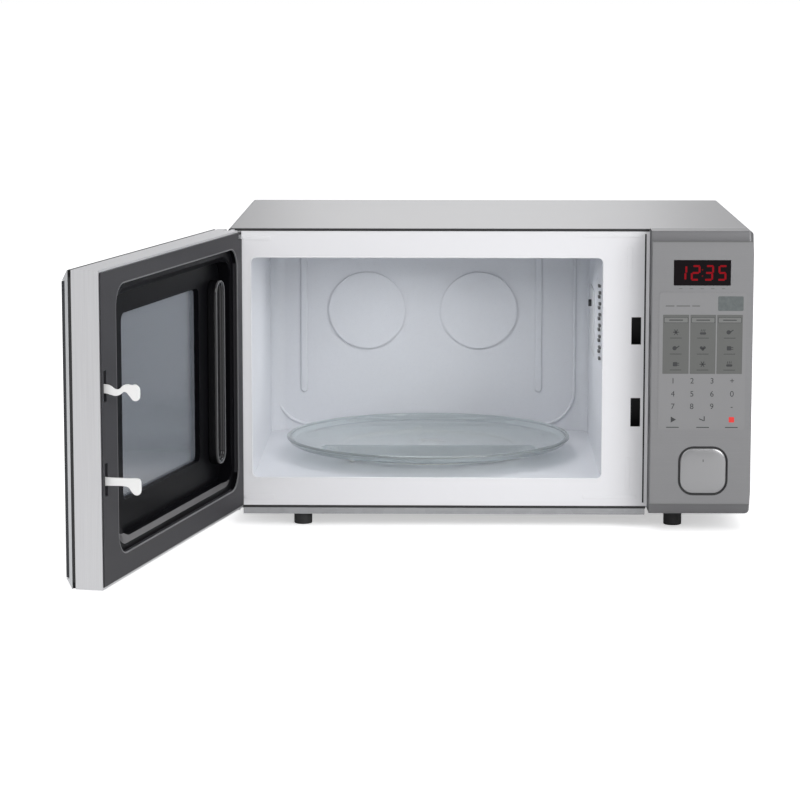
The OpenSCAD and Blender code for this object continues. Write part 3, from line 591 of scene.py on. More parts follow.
# The rib's gloss is its own; its near-black, like the well's, is painted shade in the recess.
rib_gloss_painted_shade = mottled("door rib gloss, painted shade black", (0.006, 0.006, 0.007), 0.12, 0.04, 0.1, 700, 8, 0.02, 0.0, 0.0)
# Lighter charcoal for thin lines round the well, round the rib and along the liner's edges: painted highlights.
liner_highlight = mottled("charcoal painted highlight", (0.12, 0.12, 0.125), 0.35, 0.08, 0.1, 700, 8, 0.02, 0.0, 0.0)
for dark_finish, sheen in ((liner_plastic, 0.22), (liner_well_shade, 0.02)):
    dark_finish.node_tree.nodes["Principled BSDF"].inputs["Specular IOR Level"].default_value = sheen
hook_plastic = mottled("white hook plastic", (0.84, 0.84, 0.83), 0.3, 0.06, 0.02, 900, 12, 0.05)
cream_plastic = mottled("cream moulded plastic", (0.70, 0.68, 0.60), 0.42, 0.08, 0.03, 900, 10, 0.08)
ring_plastic = mottled("ring moulded plastic", (0.80, 0.79, 0.75), 0.36, 0.08, 0.03, 900, 12, 0.06)
wheel_plastic = mottled("wheel moulded plastic", (0.93, 0.93, 0.92), 0.3, 0.06, 0.02, 900, 14, 0.05)
black_plastic = mottled("black moulded plastic", (0.03, 0.031, 0.034), 0.45, 0.1, 0.15, 900, 10, 0.1)
blue_plastic = mottled("blue relay plastic", (0.03, 0.12, 0.34), 0.35, 0.08, 0.06, 900, 12, 0.06)
grey_plastic = mottled("grey fan plastic", (0.55, 0.56, 0.56), 0.4, 0.08, 0.04, 900, 12, 0.06)
# Black rubber for the feet, cord gland and door gasket; the same black also paints shadow in gaps.
black_rubber_and_shadow = mottled("black rubber and painted shadow", (0.022, 0.022, 0.023), 0.68, 0.12, 0.2, 500, 20, 0.3)
film_print = mottled("printed key film", (0.258, 0.258, 0.262), 0.42, 0.08, 0.03, 1600, 9, 0.04, 0.55)
bare_zinc = spangled_zinc("galvanised sheet", (0.40, 0.405, 0.415))
bright_plate = mottled("bright plated steel", (0.68, 0.69, 0.70), 0.28, 0.12, 0.06, 500, 16, 0.05, 1.0)
pressed_aluminium = mottled("pressed aluminium", (0.78, 0.79, 0.80), 0.34, 0.12, 0.05, 600, 18, 0.08, 1.0)
core_steel = striped("core laminations", (0.05, 0.05, 0.055), (0.16, 0.16, 0.17), 0.0012, 0.45, 0.6, "Y")
coil_wire = striped("enamelled windings", (0.20, 0.06, 0.02), (0.62, 0.24, 0.08), 0.0014, 0.3, 0.7, "Z")
steatite = mottled("glazed ceramic", (0.78, 0.75, 0.68), 0.22, 0.06, 0.03, 700, 12, 0.05, 0.0, 0.3)
mica_sheet = mottled("mica sheet", (0.66, 0.67, 0.68), 0.4, 0.15, 0.08, 380, 25, 0.15)
board_green = circuit_board("circuit board")
tray_glass = glass("tray glass", (0.66, 0.71, 0.72), 0.04, 0.8)
let_light_through(tray_glass, 0.75)
pane_glass = glass("window pane glass", (0.60, 0.64, 0.70), 0.16, 0.85)
outer_glass = glass("tinted door glass", (0.018, 0.020, 0.024), 0.06, 0.0)
lamp_glass = glass("frosted lamp glass", (0.95, 0.94, 0.90), 0.25, 0.6)
lens_tint = mottled("display lens", (0.003, 0.001, 0.002), 0.25, 0.04, 0.1, 900, 10, 0.02, 0.0, 0.0)
lens_tint.node_tree.nodes["Principled BSDF"].inputs["Specular IOR Level"].default_value = 0.12
screen_paint = perforated("perforated screen", (0.115, 0.125, 0.145))
digit_red = glowing("lit red digits", (0.20, 0.004, 0.008), 1.0)
digit_faint = glowing("faint red colon", (0.10, 0.004, 0.005), 1.0)
ink_black = mottled("black ink", (0.035, 0.036, 0.038), 0.5, 0.05, 0.1, 1500, 20, 0.02)
# Grey ink for printed marks; the same grey also paints shade in the fascia gaps and at the cavity vents.
grey_ink_and_shade = mottled("grey ink and painted shade", (0.135, 0.137, 0.135), 0.5, 0.05, 0.05, 1500, 20, 0.02)
ink_field = mottled("grey key field", (0.125, 0.128, 0.123), 0.46, 0.05, 0.04, 1500, 12, 0.02, 0.3)
ink_tab = mottled("pale key tabs", (0.18, 0.184, 0.178), 0.44, 0.05, 0.03, 1500, 12, 0.02, 0.3)
ink_teal = mottled("muted badge field", (0.12, 0.135, 0.135), 0.4, 0.05, 0.45, 1500, 260, 0.02, 0.3)
ink_red = mottled("red ink", (0.72, 0.03, 0.025), 0.4, 0.05, 0.06, 1500, 20, 0.02)

# ------------------------------------------------------------------ cabinet


def make_cabinet():
    for node, name, width, material in (("outer_cover", "cover_shell", 0.35, cover_steel),
                                        ("front_plate", "face_plate", 0.3, white_enamel),
                                        ("feet", "rubber_feet", 1.0, black_rubber_and_shadow),
                                        ("hinge_upper", "hinge_arm_upper", 0.3, bright_plate),
                                        ("hinge_lower", "hinge_plate_lower", 0.4, bright_plate)):
        softened_node(node, name, width * MM, material, "cabinet")
    for node, material in (("base_plate", bare_zinc), ("rear_panel", bare_zinc), ("cover_screws", bright_plate),
                           ("cord_gland", black_rubber_and_shadow)):
        finish_node(node, material)


def bead(name, low_x, low_z, high_x, high_z, y, proud, width):
    """A pressed bead: a round-ended bar that stands a little proud of the sheet."""
    upright = high_z - low_z > high_x - low_x
    if upright:
        low, high = (low_x - width / 2, low_z), (low_x + width / 2, high_z)
    else:
        low, high = (low_x, low_z - width / 2), (high_x, low_z + width / 2)
    piece = block(name, (low[0], y - proud, low[1]), (high[0], y + 0.4 * MM, high[1]))
    round_corners(piece, width * 0.49, "Y", 8)
    edit(piece)
    choose(piece, lambda centre, normal: normal.y < -0.9)
    bpy.ops.mesh.inset(thickness=width * 0.22)
    bpy.ops.transform.translate(value=(0, -proud * 0.35, 0))
    leave_edit()
    return soften(piece, proud * 0.5, 3, 20)


def make_plate_details():
    """The beads pressed into the front plate, dark strips of painted shadow along its seams, and the rolled edge of the
    oven's mouth.
    """
    y = plate_low.y
    seam = fascia_low.x
    proud = 0.32 * MM                       # keeps the beads clear of the shut door
    low, top, left = plate_low.z, plate_high.z, plate_low.x
    beads = (("right_top", seam - 21 * MM, top - 60 * MM, seam - 21 * MM, top - 17 * MM, 5),
             ("right_low", seam - 21 * MM, low + 17 * MM, seam - 21 * MM, low + 52 * MM, 5),
             ("top_left", left + 14 * MM, top - 9 * MM, left + 43 * MM, top - 9 * MM, 4),
             ("low_left", left + 14 * MM, low + 9 * MM, left + 46 * MM, low + 9 * MM, 5),
             ("low_right", seam - 68 * MM, low + 10 * MM, seam - 12 * MM, low + 10 * MM, 4),
             ("top_right", seam - 70 * MM, top - 6 * MM, seam - 8 * MM, top - 6 * MM, 3))
    for place, x0, z0, x1, z1, width in beads:
        fit(bead("plate_bead_" + place, x0, z0, x1, z1, y, proud, width * MM), white_enamel, "cabinet", "front_plate")
    # Dark strips of painted shadow: under the cover's front edge, in the gap beside the panel, and under the plate's
    # bottom edge.
    shadow_strips = [block("seam", (plate_low.x + 6 * MM, y - 0.5 * MM, plate_high.z - 1.4 * MM),
                   (seam - 1 * MM, y + 0.4 * MM, cover_high.z - 0.4 * MM)),
             block("seam", (seam - 5.6 * MM, y - 0.4 * MM, plate_low.z + 4 * MM),
                   (seam - 4.0 * MM, y + 0.4 * MM, plate_high.z - 4 * MM)),
             block("seam", (plate_low.x + 12 * MM, y - 0.3 * MM, plate_low.z - 2.2 * MM),
                   (seam - 2 * MM, y + 0.4 * MM, plate_low.z + 0.4 * MM))]
    fit(soften(join("front_shadow_strips", shadow_strips), 0.2 * MM), black_rubber_and_shadow, "cabinet", "front_plate")
    lip = rounded_tube("mouth_lip", wrap_low.x + 1 * MM, 50 * MM, wrap_high.x - 1 * MM, 282 * MM, 6 * MM,
                       y + 0.7 * MM, 0.9 * MM)
    fit(lip, white_enamel, "cabinet", "front_plate")


def rounded_tube(name, x0, z0, x1, z1, radius, y, thickness, closed=True):
    """A thin round bar bent into a rounded rectangle that stands upright."""
    line = bpy.data.curves.new(name, "CURVE")
    line.dimensions = "3D"
    line.bevel_depth = thickness
    line.bevel_resolution = 3
    spline = line.splines.new("POLY")
    centres = [(x1 - radius, z1 - radius, 0), (x0 + radius, z1 - radius, 90),
               (x0 + radius, z0 + radius, 180), (x1 - radius, z0 + radius, 270)]
    points = [(cx + radius * math.cos(math.radians(start + step * 10)), y,
               cz + radius * math.sin(math.radians(start + step * 10)))
              for cx, cz, start in centres for step in range(10)]
    spline.points.add(len(points) - 1)
    for point, place in zip(spline.points, points):
        point.co = (*place, 1)
    spline.use_cyclic_u = closed
    piece = bpy.data.objects.new(name, line)
    bpy.context.collection.objects.link(piece)
    make_active(piece)
    bpy.ops.object.convert(target="MESH")
    bpy.ops.object.shade_smooth()
    return bpy.context.object


# ------------------------------------------------------------------ oven cavity


def corner_fillet(name, x, y, radius, start):
    """A hollow quarter-round that softens an upright corner of the cavity."""
    deselect_all()
    bpy.ops.mesh.primitive_plane_add(size=1, location=(0, 0, 0))
    piece = named(name)
    edit(piece)
    choose(piece, lambda centre, line: centre.x < 0 and abs(line.y) > 0.9, "EDGE")
    bpy.ops.mesh.select_all(action="INVERT")
    bpy.ops.mesh.delete(type="EDGE_FACE")
    leave_edit()
    for vertex in piece.data.vertices:
        top = vertex.co.y > 0
        vertex.co = (x + radius * math.cos(start), y + radius * math.sin(start),
                     wrap_high.z - 1 * MM if top else floor_high.z)
    edit(piece)
    bpy.ops.mesh.select_all(action="SELECT")
    bpy.ops.mesh.spin(steps=10, angle=math.pi / 2, center=(x, y, 0), axis=(0, 0, 1))
    bpy.ops.mesh.select_all(action="SELECT")
    bpy.ops.mesh.remove_doubles(threshold=1e-6)
    bpy.ops.mesh.normals_make_consistent(inside=False)
    leave_edit()
    wall = piece.modifiers.new("wall", "SOLIDIFY")
    wall.thickness = 0.6 * MM
    wall.offset = 0
    bpy.ops.object.modifier_apply(modifier=wall.name)
    return smooth_shade(piece, 40)


def make_cavity():
    for node in ("cavity_wrap", "cavity_floor", "cavity_back"):
        finish_node(node, cavity_enamel)
    wall_y = wrap_high.y
    left, right = wrap_low.x + 1 * MM, wrap_high.x - 1 * MM
    disc_z, ridge_foot, ridge_top = 187.5 * MM, 92 * MM, 274 * MM
    disc_profile = [(0, 2.6), (37, 2.6), (40, 2.3), (42, 1.6), (43.4, 0.7), (44, 0), (44, -0.6)]
    for side, disc_x, ridge_x in (("left", -136 * MM, -209 * MM), ("right", -7 * MM, 62 * MM)):
        disc = spun("back_disc_" + side, [(r * MM, z * MM) for r, z in disc_profile], Vector((0, 0, 0)), 72)
        disc.data.transform(Matrix.Translation((disc_x, wall_y, disc_z)) @ Matrix.Rotation(math.pi / 2, 4, "X"))
        fit(disc, cavity_enamel, "cabinet", "cavity_back")
        ridge = bead("back_ridge_" + side, ridge_x, ridge_foot, ridge_x, ridge_top, wall_y, 1.8 * MM, 8 * MM)
        fit(ridge, cavity_enamel, "cabinet", "cavity_back")
    frame_bead = rounded_tube("back_wall_bead", left + 5 * MM, floor_high.z + 7 * MM, right - 15 * MM, 280 * MM,
                              40 * MM, wall_y - 0.2 * MM, 1.9 * MM)
    fit(frame_bead, cavity_enamel, "cabinet", "cavity_back")
    radius = 16 * MM
    for side, x, start in (("left", left + radius, math.pi), ("right", right - radius, math.pi / 2)):
        fit(corner_fillet("corner_back_" + side, x, wall_y - radius, radius, start), cavity_enamel, "cabinet",
            "cavity_wrap")
    finish_node("waveguide_cover", mica_sheet)
    clip = soften(tube("mica_clip", (right - 2.2 * MM, 60 * MM, 207 * MM), 4 * MM, 3.6 * MM, "X", 24), 0.6 * MM)
    fit(clip, black_plastic, "cabinet", "waveguide_cover")
    # Small dark grey blades near the mouth on the right wall: their grey is painted shade for the vent openings.
    blade = soften(block("vent_blade", (right - 2.4 * MM, -6 * MM, -1.3 * MM),
                         (right + 0.2 * MM, 6 * MM, 1.3 * MM)), 0.4 * MM)
    blades = [copy_piece(blade, "vent_blade_%d" % row, (0, (-136 + 14 * (row % 2)) * MM, (170 + row * 5.8) * MM))
              for row in range(14)]
    bpy.data.objects.remove(blade)
    fit(join("vent_blades", blades), grey_ink_and_shade, "cabinet", "cavity_wrap")


def spun(name, profile, centre, steps=96):
    """A turned shape: a profile of (radius, height) points spun about an upright axis."""
    piece = mesh_piece(name, [(centre.x + r, centre.y, z) for r, z in profile],
                       [(i, i + 1) for i in range(len(profile) - 1)], [])
    edit(piece)
    bpy.ops.mesh.select_all(action="SELECT")
    bpy.ops.mesh.spin(steps=steps, angle=2 * math.pi, center=centre, axis=(0, 0, 1))
    bpy.ops.mesh.select_all(action="SELECT")
    bpy.ops.mesh.remove_doubles(threshold=1e-6)
    bpy.ops.mesh.normals_make_consistent(inside=False)
    leave_edit()
    return smooth_shade(piece, 35)


def make_tray():
    """The moulded glass tray: a flat dish with a shallow step and a rounded rim."""
    rim = tray_high.x - turn_centre.x
    low, high = tray_low.z, tray_high.z
    profile = [(0, low), (rim - 40 * MM, low), (rim - 38 * MM, low + 0.8 * MM), (rim - 12 * MM, low + 0.8 * MM),
               (rim - 7 * MM, low + 1.6 * MM), (rim - 3 * MM, low + 4 * MM), (rim - 0.8 * MM, low + 7 * MM)]
    profile += [(rim - 2.2 * MM + 2.2 * MM * math.cos(a), high - 2.2 * MM + 2.2 * MM * math.sin(a))
                for a in (math.radians(d) for d in range(-15, 181, 15))]
    profile += [(rim - 6.5 * MM, low + 7 * MM), (rim - 10 * MM, low + 5.4 * MM), (rim - 14 * MM, low + 4.6 * MM),
                (rim - 38 * MM, low + 4.6 * MM), (rim - 40 * MM, low + 3.8 * MM), (0, low + 3.8 * MM)]
    tray = spun("glass_turntable", profile, turn_centre, 128)
    fit(tray, tray_glass, "turntable", "glass_tray", "glass_tray")
    finish_node("turntable_coupler", ring_plastic)
    softened_node("roller_ring", "tray_roller_ring", 0.5 * MM, ring_plastic, "ring", 2)
    for number, body in ((1, "wheel_a"), (2, "wheel_b"), (3, "wheel_c")):
        softened_node("roller_wheel_%d" % number, "tray_wheel_%d" % number, 0.5 * MM, wheel_plastic, body)


# ------------------------------------------------------------------ door


def tapered_cutter(name, low, high, shrink, radius):
    """A box whose front end, towards -Y, is smaller all round, with rounded upright corners."""
    piece = block(name, low, high)
    edit(piece)
    choose(piece, lambda centre, normal: normal.y < -0.9)
    width, height = high[0] - low[0], high[2] - low[2]
    bpy.ops.transform.resize(value=((width - 2 * shrink) / width, 1, (height - 2 * shrink) / height))
    choose(piece, lambda centre, line: abs(line.y) > 0.2, "EDGE")
    bpy.ops.mesh.bevel(offset=radius, segments=8, affect="EDGES")
    leave_edit()
    return piece


def fit_on_door(piece, material, slot, *nodes):
    """Swings a piece that was made with the door shut and fits it to the door."""
    piece.data.transform(SWING)
    return fit(piece, material, "door", slot, *nodes)


def make_door_liner():
    """The dark moulded inner frame, with its sloping well, pill-shaped rib and hook slots."""
    low, high = shut_corners("door_inner_frame")
    face = high.y
    liner = merged_copy("door_inner_frame", "door_liner")
    liner.data.transform(SHUT)
    well_left, well_right = door_pivot.x + 13.5 * MM, door_pivot.x + 386.5 * MM
    well_low, well_high, well_corner = 43 * MM, 294.5 * MM, 22 * MM
    well = tapered_cutter("well", (well_left, face - 11 * MM, well_low), (well_right, face + 0.4 * MM, well_high),
                          14 * MM, well_corner)
    carve(liner, well)
    soften(liner, 1.1 * MM, 3, 30)
    fit(liner, liner_plastic, "door", "door_inner_frame", "door_inner_frame")
    liner.data.materials.append(liner_well_shade)
    liner.data.materials.append(liner_lit_slope)
    # Faces inside the well get the near-black of painted shade.
    for face_part in liner.data.polygons:
        centre = face_part.center
        inside = (well_left + 1.5 * MM < centre.x < well_right - 1.5 * MM
                  and well_low + 2 * MM < centre.z < well_high - 1.5 * MM)
        face_part.material_index = 1 if inside and centre.y < face - 2.0 * MM else 0
        # Slope faces low in the well that face up get the lighter tone: painted light.
        if inside and face_part.normal.z > 0.4 and face_part.normal.y > 0.4 and centre.z < 62 * MM:
            face_part.material_index = 2
    liner.data.transform(SWING)
    rib = block("liner_rib", (door_pivot.x + 33 * MM, face - 18.5 * MM, 74 * MM),
                (door_pivot.x + 62 * MM, face - 8 * MM, 264 * MM))
    round_corners(rib, 13.5 * MM, "Y", 10)
    edit(rib)
    choose(rib, lambda centre, normal: normal.y > 0.9)
    bpy.ops.mesh.inset(thickness=5 * MM)
    bpy.ops.mesh.extrude_region_move(TRANSFORM_OT_translate={"value": (0, -4 * MM, 0)})
    leave_edit()
    soften(rib, 2.2 * MM, 5, 30)
    fit_on_door(rib, rib_gloss_painted_shade, "door_inner_frame")
    # Thin lighter lines round the rib, round the well and along the top and bottom edges: painted highlights.
    rib_line = rounded_tube("liner_rib_highlight", door_pivot.x + 34.5 * MM, 75.5 * MM, door_pivot.x + 60.5 * MM,
                            262.5 * MM, 12 * MM, face - 8.2 * MM, 0.7 * MM)
    fit_on_door(rib_line, liner_highlight, "door_inner_frame")
    lip = rounded_tube("liner_lip", well_left + 0.5 * MM, well_low + 0.5 * MM, well_right - 0.5 * MM,
                       well_high - 0.5 * MM, well_corner, face - 0.7 * MM, 0.9 * MM)
    fit_on_door(lip, liner_highlight, "door_inner_frame")
    edges = [block("edge", (low.x + 5 * MM, face - 1.8 * MM, z - 0.4 * MM),
                   (high.x - 5 * MM, face - 0.6 * MM, z + 0.4 * MM)) for z in (low.z, high.z)]
    fit_on_door(soften(join("liner_edge_highlights", edges), 0.2 * MM), liner_highlight, "door_inner_frame")


def smooth_loop(points, steps=5):
    """A closed smooth line through a few points."""
    loop = []
    for i in range(len(points)):
        p0, p1, p2, p3 = (Vector(points[(i + k) % len(points)]) for k in (-1, 0, 1, 2))
        for step in range(steps):
            t = step / steps
            loop.append(0.5 * ((2 * p1) + (p2 - p0) * t + (2 * p0 - 5 * p1 + 4 * p2 - p3) * t * t
                               + (3 * p1 - p0 - 3 * p2 + p3) * t ** 3))
    return loop


STRAIGHT_HOOK = [(-14, 3.7), (4, 3.7), (20, 3.7), (29, 3.9), (32.4, 2.4), (33, -3), (32.8, -8), (31, -11),
                 (27.5, -11.3),
                 (24.4, -8.8), (19.5, -3.9), (4, -3.7), (-14, -3.7)]
WAVED_HOOK = [(-14, 4), (0, 4.2), (5, 3.2), (9.5, 0.4), (13.5, 0.5), (17.5, 3.9), (21.5, 5), (25, 4.4), (29, 4.9),
              (32.4, 2.2), (33, -2.5), (32.6, -7.2), (30.4, -9.7), (26.6, -9.4), (23.6, -6), (20.5, -2.5), (17.5, -2.2),
              (14, -4.8), (10, -5.8), (5, -4.8), (0, -3.8), (-14, -3.8)]


def hook_shape(name, outline, middle, x0, x1, face):
    """One hook cut from sheet, its outline given as reach out of the door and height about its middle, in mm."""
    loop = [(x0, face + reach * MM, middle + rise * MM) for reach, rise in smooth_loop(outline)]
    piece = mesh_piece(name, loop, [], [list(range(len(loop)))])
    edit(piece)
    bpy.ops.mesh.select_all(action="SELECT")
    bpy.ops.mesh.extrude_region_move(TRANSFORM_OT_translate={"value": (x1 - x0, 0, 0)})
    bpy.ops.mesh.select_all(action="SELECT")
    bpy.ops.mesh.normals_make_consistent(inside=False)
    leave_edit()
    return soften(piece, 0.55 * MM, 2, 40)


def make_hooks():
    low, high = shut_corners("latch_hook")
    tips = sorted((SHUT @ v.co).z for v in frame["nodes"]["latch_hook"].data.vertices
                  if (SHUT @ v.co).y > high.y - 12 * MM)
    low_base = tips[0]
    high_base = min(z for z in tips if z > low_base + 40 * MM)
    face = shut_corners("door_inner_frame")[1].y
    bar = soften(block("hook_bar", (low.x, low.y, low.z), (high.x, low.y + 6 * MM, high_base + 22 * MM)), 0.5 * MM, 2)
    hooks = join("latch_hooks", [bar, hook_shape("hook_low", STRAIGHT_HOOK, low_base + 11.4 * MM, low.x, high.x, face),
                                 hook_shape("hook_high", WAVED_HOOK, high_base + 9.6 * MM, low.x, high.x, face)])
    hooks.data.transform(SWING)
    fit(hooks, hook_plastic, "latch", "latch_hook", "latch_hook")


def make_gasket():
    """The dark gasket in the groove between the front trim and the steel frame."""
    trim_back = shut_corners("door_front_trim")[1].y
    low, high = shut_corners("door_frame")
    inset, deep, band = 0.7 * MM, 3.0 * MM, 6 * MM
    x0, x1, z0, z1 = low.x + inset, high.x - inset, low.z + inset, high.z - inset
    bars = [block("gasket", (x0, trim_back, z0), (x1, trim_back + deep, z0 + band)),
            block("gasket", (x0, trim_back, z1 - band), (x1, trim_back + deep, z1)),
            block("gasket", (x0, trim_back, z0), (x0 + band, trim_back + deep, z1)),
            block("gasket", (x1 - band, trim_back, z0), (x1, trim_back + deep, z1))]
    fit_on_door(soften(join("door_gasket", bars), 0.4 * MM), black_rubber_and_shadow, "door_frame")


def make_door():
    make_door_liner()
    make_hooks()
    make_gasket()
    softened_node("door_frame", "door_steel_frame", 0.5 * MM, end_steel, "door")
    softened_node("door_front_trim", "door_trim", 0.5 * MM, trim_steel, "door")
    softened_node("door_front_glass", "door_glass", 0.7 * MM, outer_glass, "door")
    softened_node("window_inner_pane", "window_pane", 0.2 * MM, pane_glass, "door")
    finish_node("window_screen", screen_paint)
    finish_node("door_screws", bright_plate)
    finish_node("latch_spring", bright_plate)


# ------------------------------------------------------------------ control panel


def text_mark(name, words, x, z, size, y):
    """Flat numerals or signs that face the front."""
    deselect_all()
    bpy.ops.object.text_add(location=(x, y, z), rotation=(math.pi / 2, 0, 0))
    piece = named(name)
    piece.data.body = words
    piece.data.size = size
    piece.data.align_x = "CENTER"
    piece.data.align_y = "CENTER"
    piece.data.extrude = 0.04 * MM
    make_active(piece)
    bpy.ops.object.convert(target="MESH")
    return settle(bpy.context.object)


def print_patch(name, x0, z0, x1, z1, y, radius=0.8 * MM, thickness=0.08 * MM):
    """A thin printed field with rounded corners."""
    piece = block(name, (x0, y - thickness, z0), (x1, y, z1))
    return round_corners(piece, radius, "Y", 4)


def print_disc(name, x, z, radius, y):
    return tube(name, (x, y, z), radius, 0.08 * MM, "Y", 24)


def print_bar(name, x, z, width, height, y, turn=0.0):
    """A thin printed bar, turned in the plane of the panel."""
    piece = block(name, (-width / 2, -0.04 * MM, -height / 2), (width / 2, 0.04 * MM, height / 2))
    round_corners(piece, min(width, height) * 0.3, "Y", 3)
    piece.data.transform(Matrix.Translation((x, y, z)) @ Matrix.Rotation(turn, 4, "Y"))
    return piece


def key_picture(number, x, z, y):
    """A small made-up food picture for one of the nine quick keys."""
    name = "picture_%d" % number
    parts = []
    kind = number % 5
    if kind == 0:
        parts = [print_bar(name, x, z, 6.4 * MM, 0.9 * MM, y, math.radians(a)) for a in (0, 60, 120)]
    elif kind == 1:
        parts = [print_disc(name, x - 1.2 * MM, z, 2.2 * MM, y),
                 print_bar(name, x + 2 * MM, z + 1.2 * MM, 4 * MM, 1.1 * MM, y, math.radians(-35))]
    elif kind == 2:
        parts = [print_patch(name, x - 2.8 * MM, z - 2.2 * MM, x + 1.8 * MM, z + 2.2 * MM, y, 0.9 * MM),
                 print_bar(name, x + 2.8 * MM, z + 1 * MM, 2 * MM, 0.8 * MM, y),
                 print_bar(name, x + 2.8 * MM, z - 1 * MM, 2 * MM, 0.8 * MM, y)]
    elif kind == 3:
        parts = [print_patch(name, x - 3.2 * MM, z - 2.4 * MM, x + 3.2 * MM, z, y, 1.1 * MM)]
        parts += [print_bar(name, x + dx * MM, z + 1.8 * MM, 0.7 * MM, 2.4 * MM, y, 0.2) for dx in (-1.8, 0, 1.8)]
    else:
        parts = [print_disc(name, x + dx * MM, z + dz * MM, 1.5 * MM, y)
                 for dx, dz in ((-1.6, 0.6), (1.6, 0.6), (0, -1))]
    return join(name, parts)


SEGMENTS = {"0": "abcdef", "1": "bc", "2": "abged", "3": "abgcd", "4": "fgbc", "5": "afgcd"}


def lit_digit(name, digit, x, z, y, width, height):
    """A seven-segment digit with its lit bars, leaning a little."""
    half = height / 4
    if digit == "1":
        x -= width / 2
    bars = {"a": (0, height / 2, 0), "g": (0, 0, 0), "d": (0, -height / 2, 0),
            "f": (-width / 2, half, 90), "b": (width / 2, half, 90),
            "e": (-width / 2, -half, 90), "c": (width / 2, -half, 90)}
    parts = []
    for letter in SEGMENTS[digit]:
        dx, dz, turn = bars[letter]
        length = (width if turn == 0 else height / 2) - 0.5 * MM
        lean = dz * 0.12
        parts.append(print_bar(name, x + dx + lean, z + dz, length, 2.0 * MM, y, math.radians(turn)))
    return join(name, parts)


def make_display():
    """The lens and the lit clock figures, seen through its face."""
    softened_node("display_window", "display_lens", 0.3 * MM, lens_tint, "cabinet")
    y = lens_low.y - 0.05 * MM
    middle = (lens_low.z + lens_high.z) / 2
    span = lens_high.x - lens_low.x
    places = [0.205, 0.38, 0.62, 0.855]
    digits = [lit_digit("digit_%d" % i, digit, lens_low.x + span * place, middle, y, 7.0 * MM, 14.0 * MM)
              for i, (digit, place) in enumerate(zip("1235", places))]
    fit(join("clock_figures", digits), digit_red, "cabinet", "display_module")
    dots = [print_disc("colon", lens_low.x + span * 0.5, middle + dz * MM, 0.8 * MM, y) for dz in (-3.2, 3.2)]
    fit(join("clock_colon", dots), digit_faint, "cabinet", "display_module")
    marks = [print_bar("lens_mark", lens_low.x + span * place, lens_low.z - 3.4 * MM, 3.4 * MM, 0.7 * MM,
                       fascia_low.y - 0.05 * MM) for place in (0.12, 0.31, 0.5, 0.69, 0.88)]
    fit(join("lens_marks", marks), grey_ink_and_shade, "cabinet", "control_fascia")
    finish_node("display_module", black_plastic)


def make_print():
    """Everything printed on the film: key fields, pictures, numerals and signs."""
    y = film_low.y
    left = film_low.x + 4 * MM
    right = film_high.x - 3 * MM
    top = film_high.z - 23 * MM
    low = top - 61 * MM
    third = (right - left) / 3
    fields, tabs, inks = [], [], []
    for column in range(3):
        x0 = left + column * third + (0.6 * MM if column else 0)
        x1 = left + (column + 1) * third - 0.6 * MM
        fields.append(print_patch("key_field", x0, low, x1, top, y, 0.5 * MM))
        inks.append(print_patch("tab_edge", x0 + 1.1 * MM, top - 8.4 * MM, x1 - 1.1 * MM, top - 2.6 * MM,
                                y - 0.04 * MM, 0.8 * MM))
        tabs.append(print_patch("key_tab", x0 + 1.5 * MM, top - 8 * MM, x1 - 1.5 * MM, top - 3 * MM,
                                y - 0.12 * MM, 0.6 * MM))
        inks.append(print_bar("tab_line", (x0 + x1) / 2, top - 5.5 * MM, 14 * MM, 1.0 * MM, y - 0.24 * MM))
        for row in range(3):
            x, z = (x0 + x1) / 2, top - 18 * MM - row * 16.5 * MM
            inks.append(key_picture(column * 3 + row, x, z, y - 0.13 * MM))
            inks.append(print_bar("key_line", x, z - 6 * MM, 12 * MM, 0.6 * MM, y - 0.13 * MM))
    fit(join("key_fields", fields), ink_field, "cabinet", "keypad_membrane")
    fit(join("key_tabs", tabs), ink_tab, "cabinet", "keypad_membrane")
    columns = [left + 11 * MM, left + 30.5 * MM, left + 51 * MM, left + 71.5 * MM]
    rows = [low - 7.5 * MM, low - 21 * MM, low - 34 * MM]
    for i in range(9):
        inks.append(text_mark("numeral", str(i + 1), columns[i % 3], rows[i // 3], 8.2 * MM, y - 0.05 * MM))
    for sign, z in zip("+0-", rows):
        inks.append(text_mark("sign", sign, columns[3], z, 8.4 * MM, y - 0.05 * MM))
    last = low - 47.5 * MM
    deselect_all()
    bpy.ops.mesh.primitive_cylinder_add(vertices=3, radius=3.6 * MM, depth=0.08 * MM, rotation=(math.pi / 2, 0, 0),
                                        location=(columns[0], y - 0.05 * MM, last))
    start = settle(named("start_sign"))
    start.data.transform(Matrix.Translation((columns[0], 0, last)) @ Matrix.Rotation(math.pi / 2, 4, "Y")
                         @ Matrix.Translation((-columns[0], 0, -last)))
    inks.append(start)
    inks.append(print_bar("hold_sign", left + 40.5 * MM, last, 5 * MM, 1 * MM, y - 0.05 * MM, 0.4))
    inks.append(print_bar("hold_sign", left + 43.5 * MM, last + 1 * MM, 1 * MM, 5 * MM, y - 0.05 * MM))
    for x in (columns[0], left + 42 * MM, columns[3]):
        inks.append(print_bar("sign_line", x, last - 8 * MM, 13 * MM, 0.9 * MM, y - 0.05 * MM))
    fit(join("panel_ink", inks), ink_black, "cabinet", "keypad_membrane")
    stop = print_patch("stop_sign", columns[3] - 2.8 * MM, last - 2.8 * MM, columns[3] + 2.8 * MM, last + 2.8 * MM,
                       y - 0.05 * MM, 0.8 * MM)
    fit(stop, ink_red, "cabinet", "keypad_membrane")
    words = [print_bar("caption_line", left + dx * MM, top + 9 * MM, wide * MM, 1.3 * MM, y - 0.05 * MM)
             for dx, wide in ((7, 9), (20.5, 14), (33.5, 8))]
    fit(join("caption_lines", words), grey_ink_and_shade, "cabinet", "keypad_membrane")
    badge = print_patch("badge_field", right - 26 * MM, top + 4 * MM, right, top + 19 * MM, y, 1.2 * MM)
    fit(badge, ink_teal, "cabinet", "keypad_membrane")


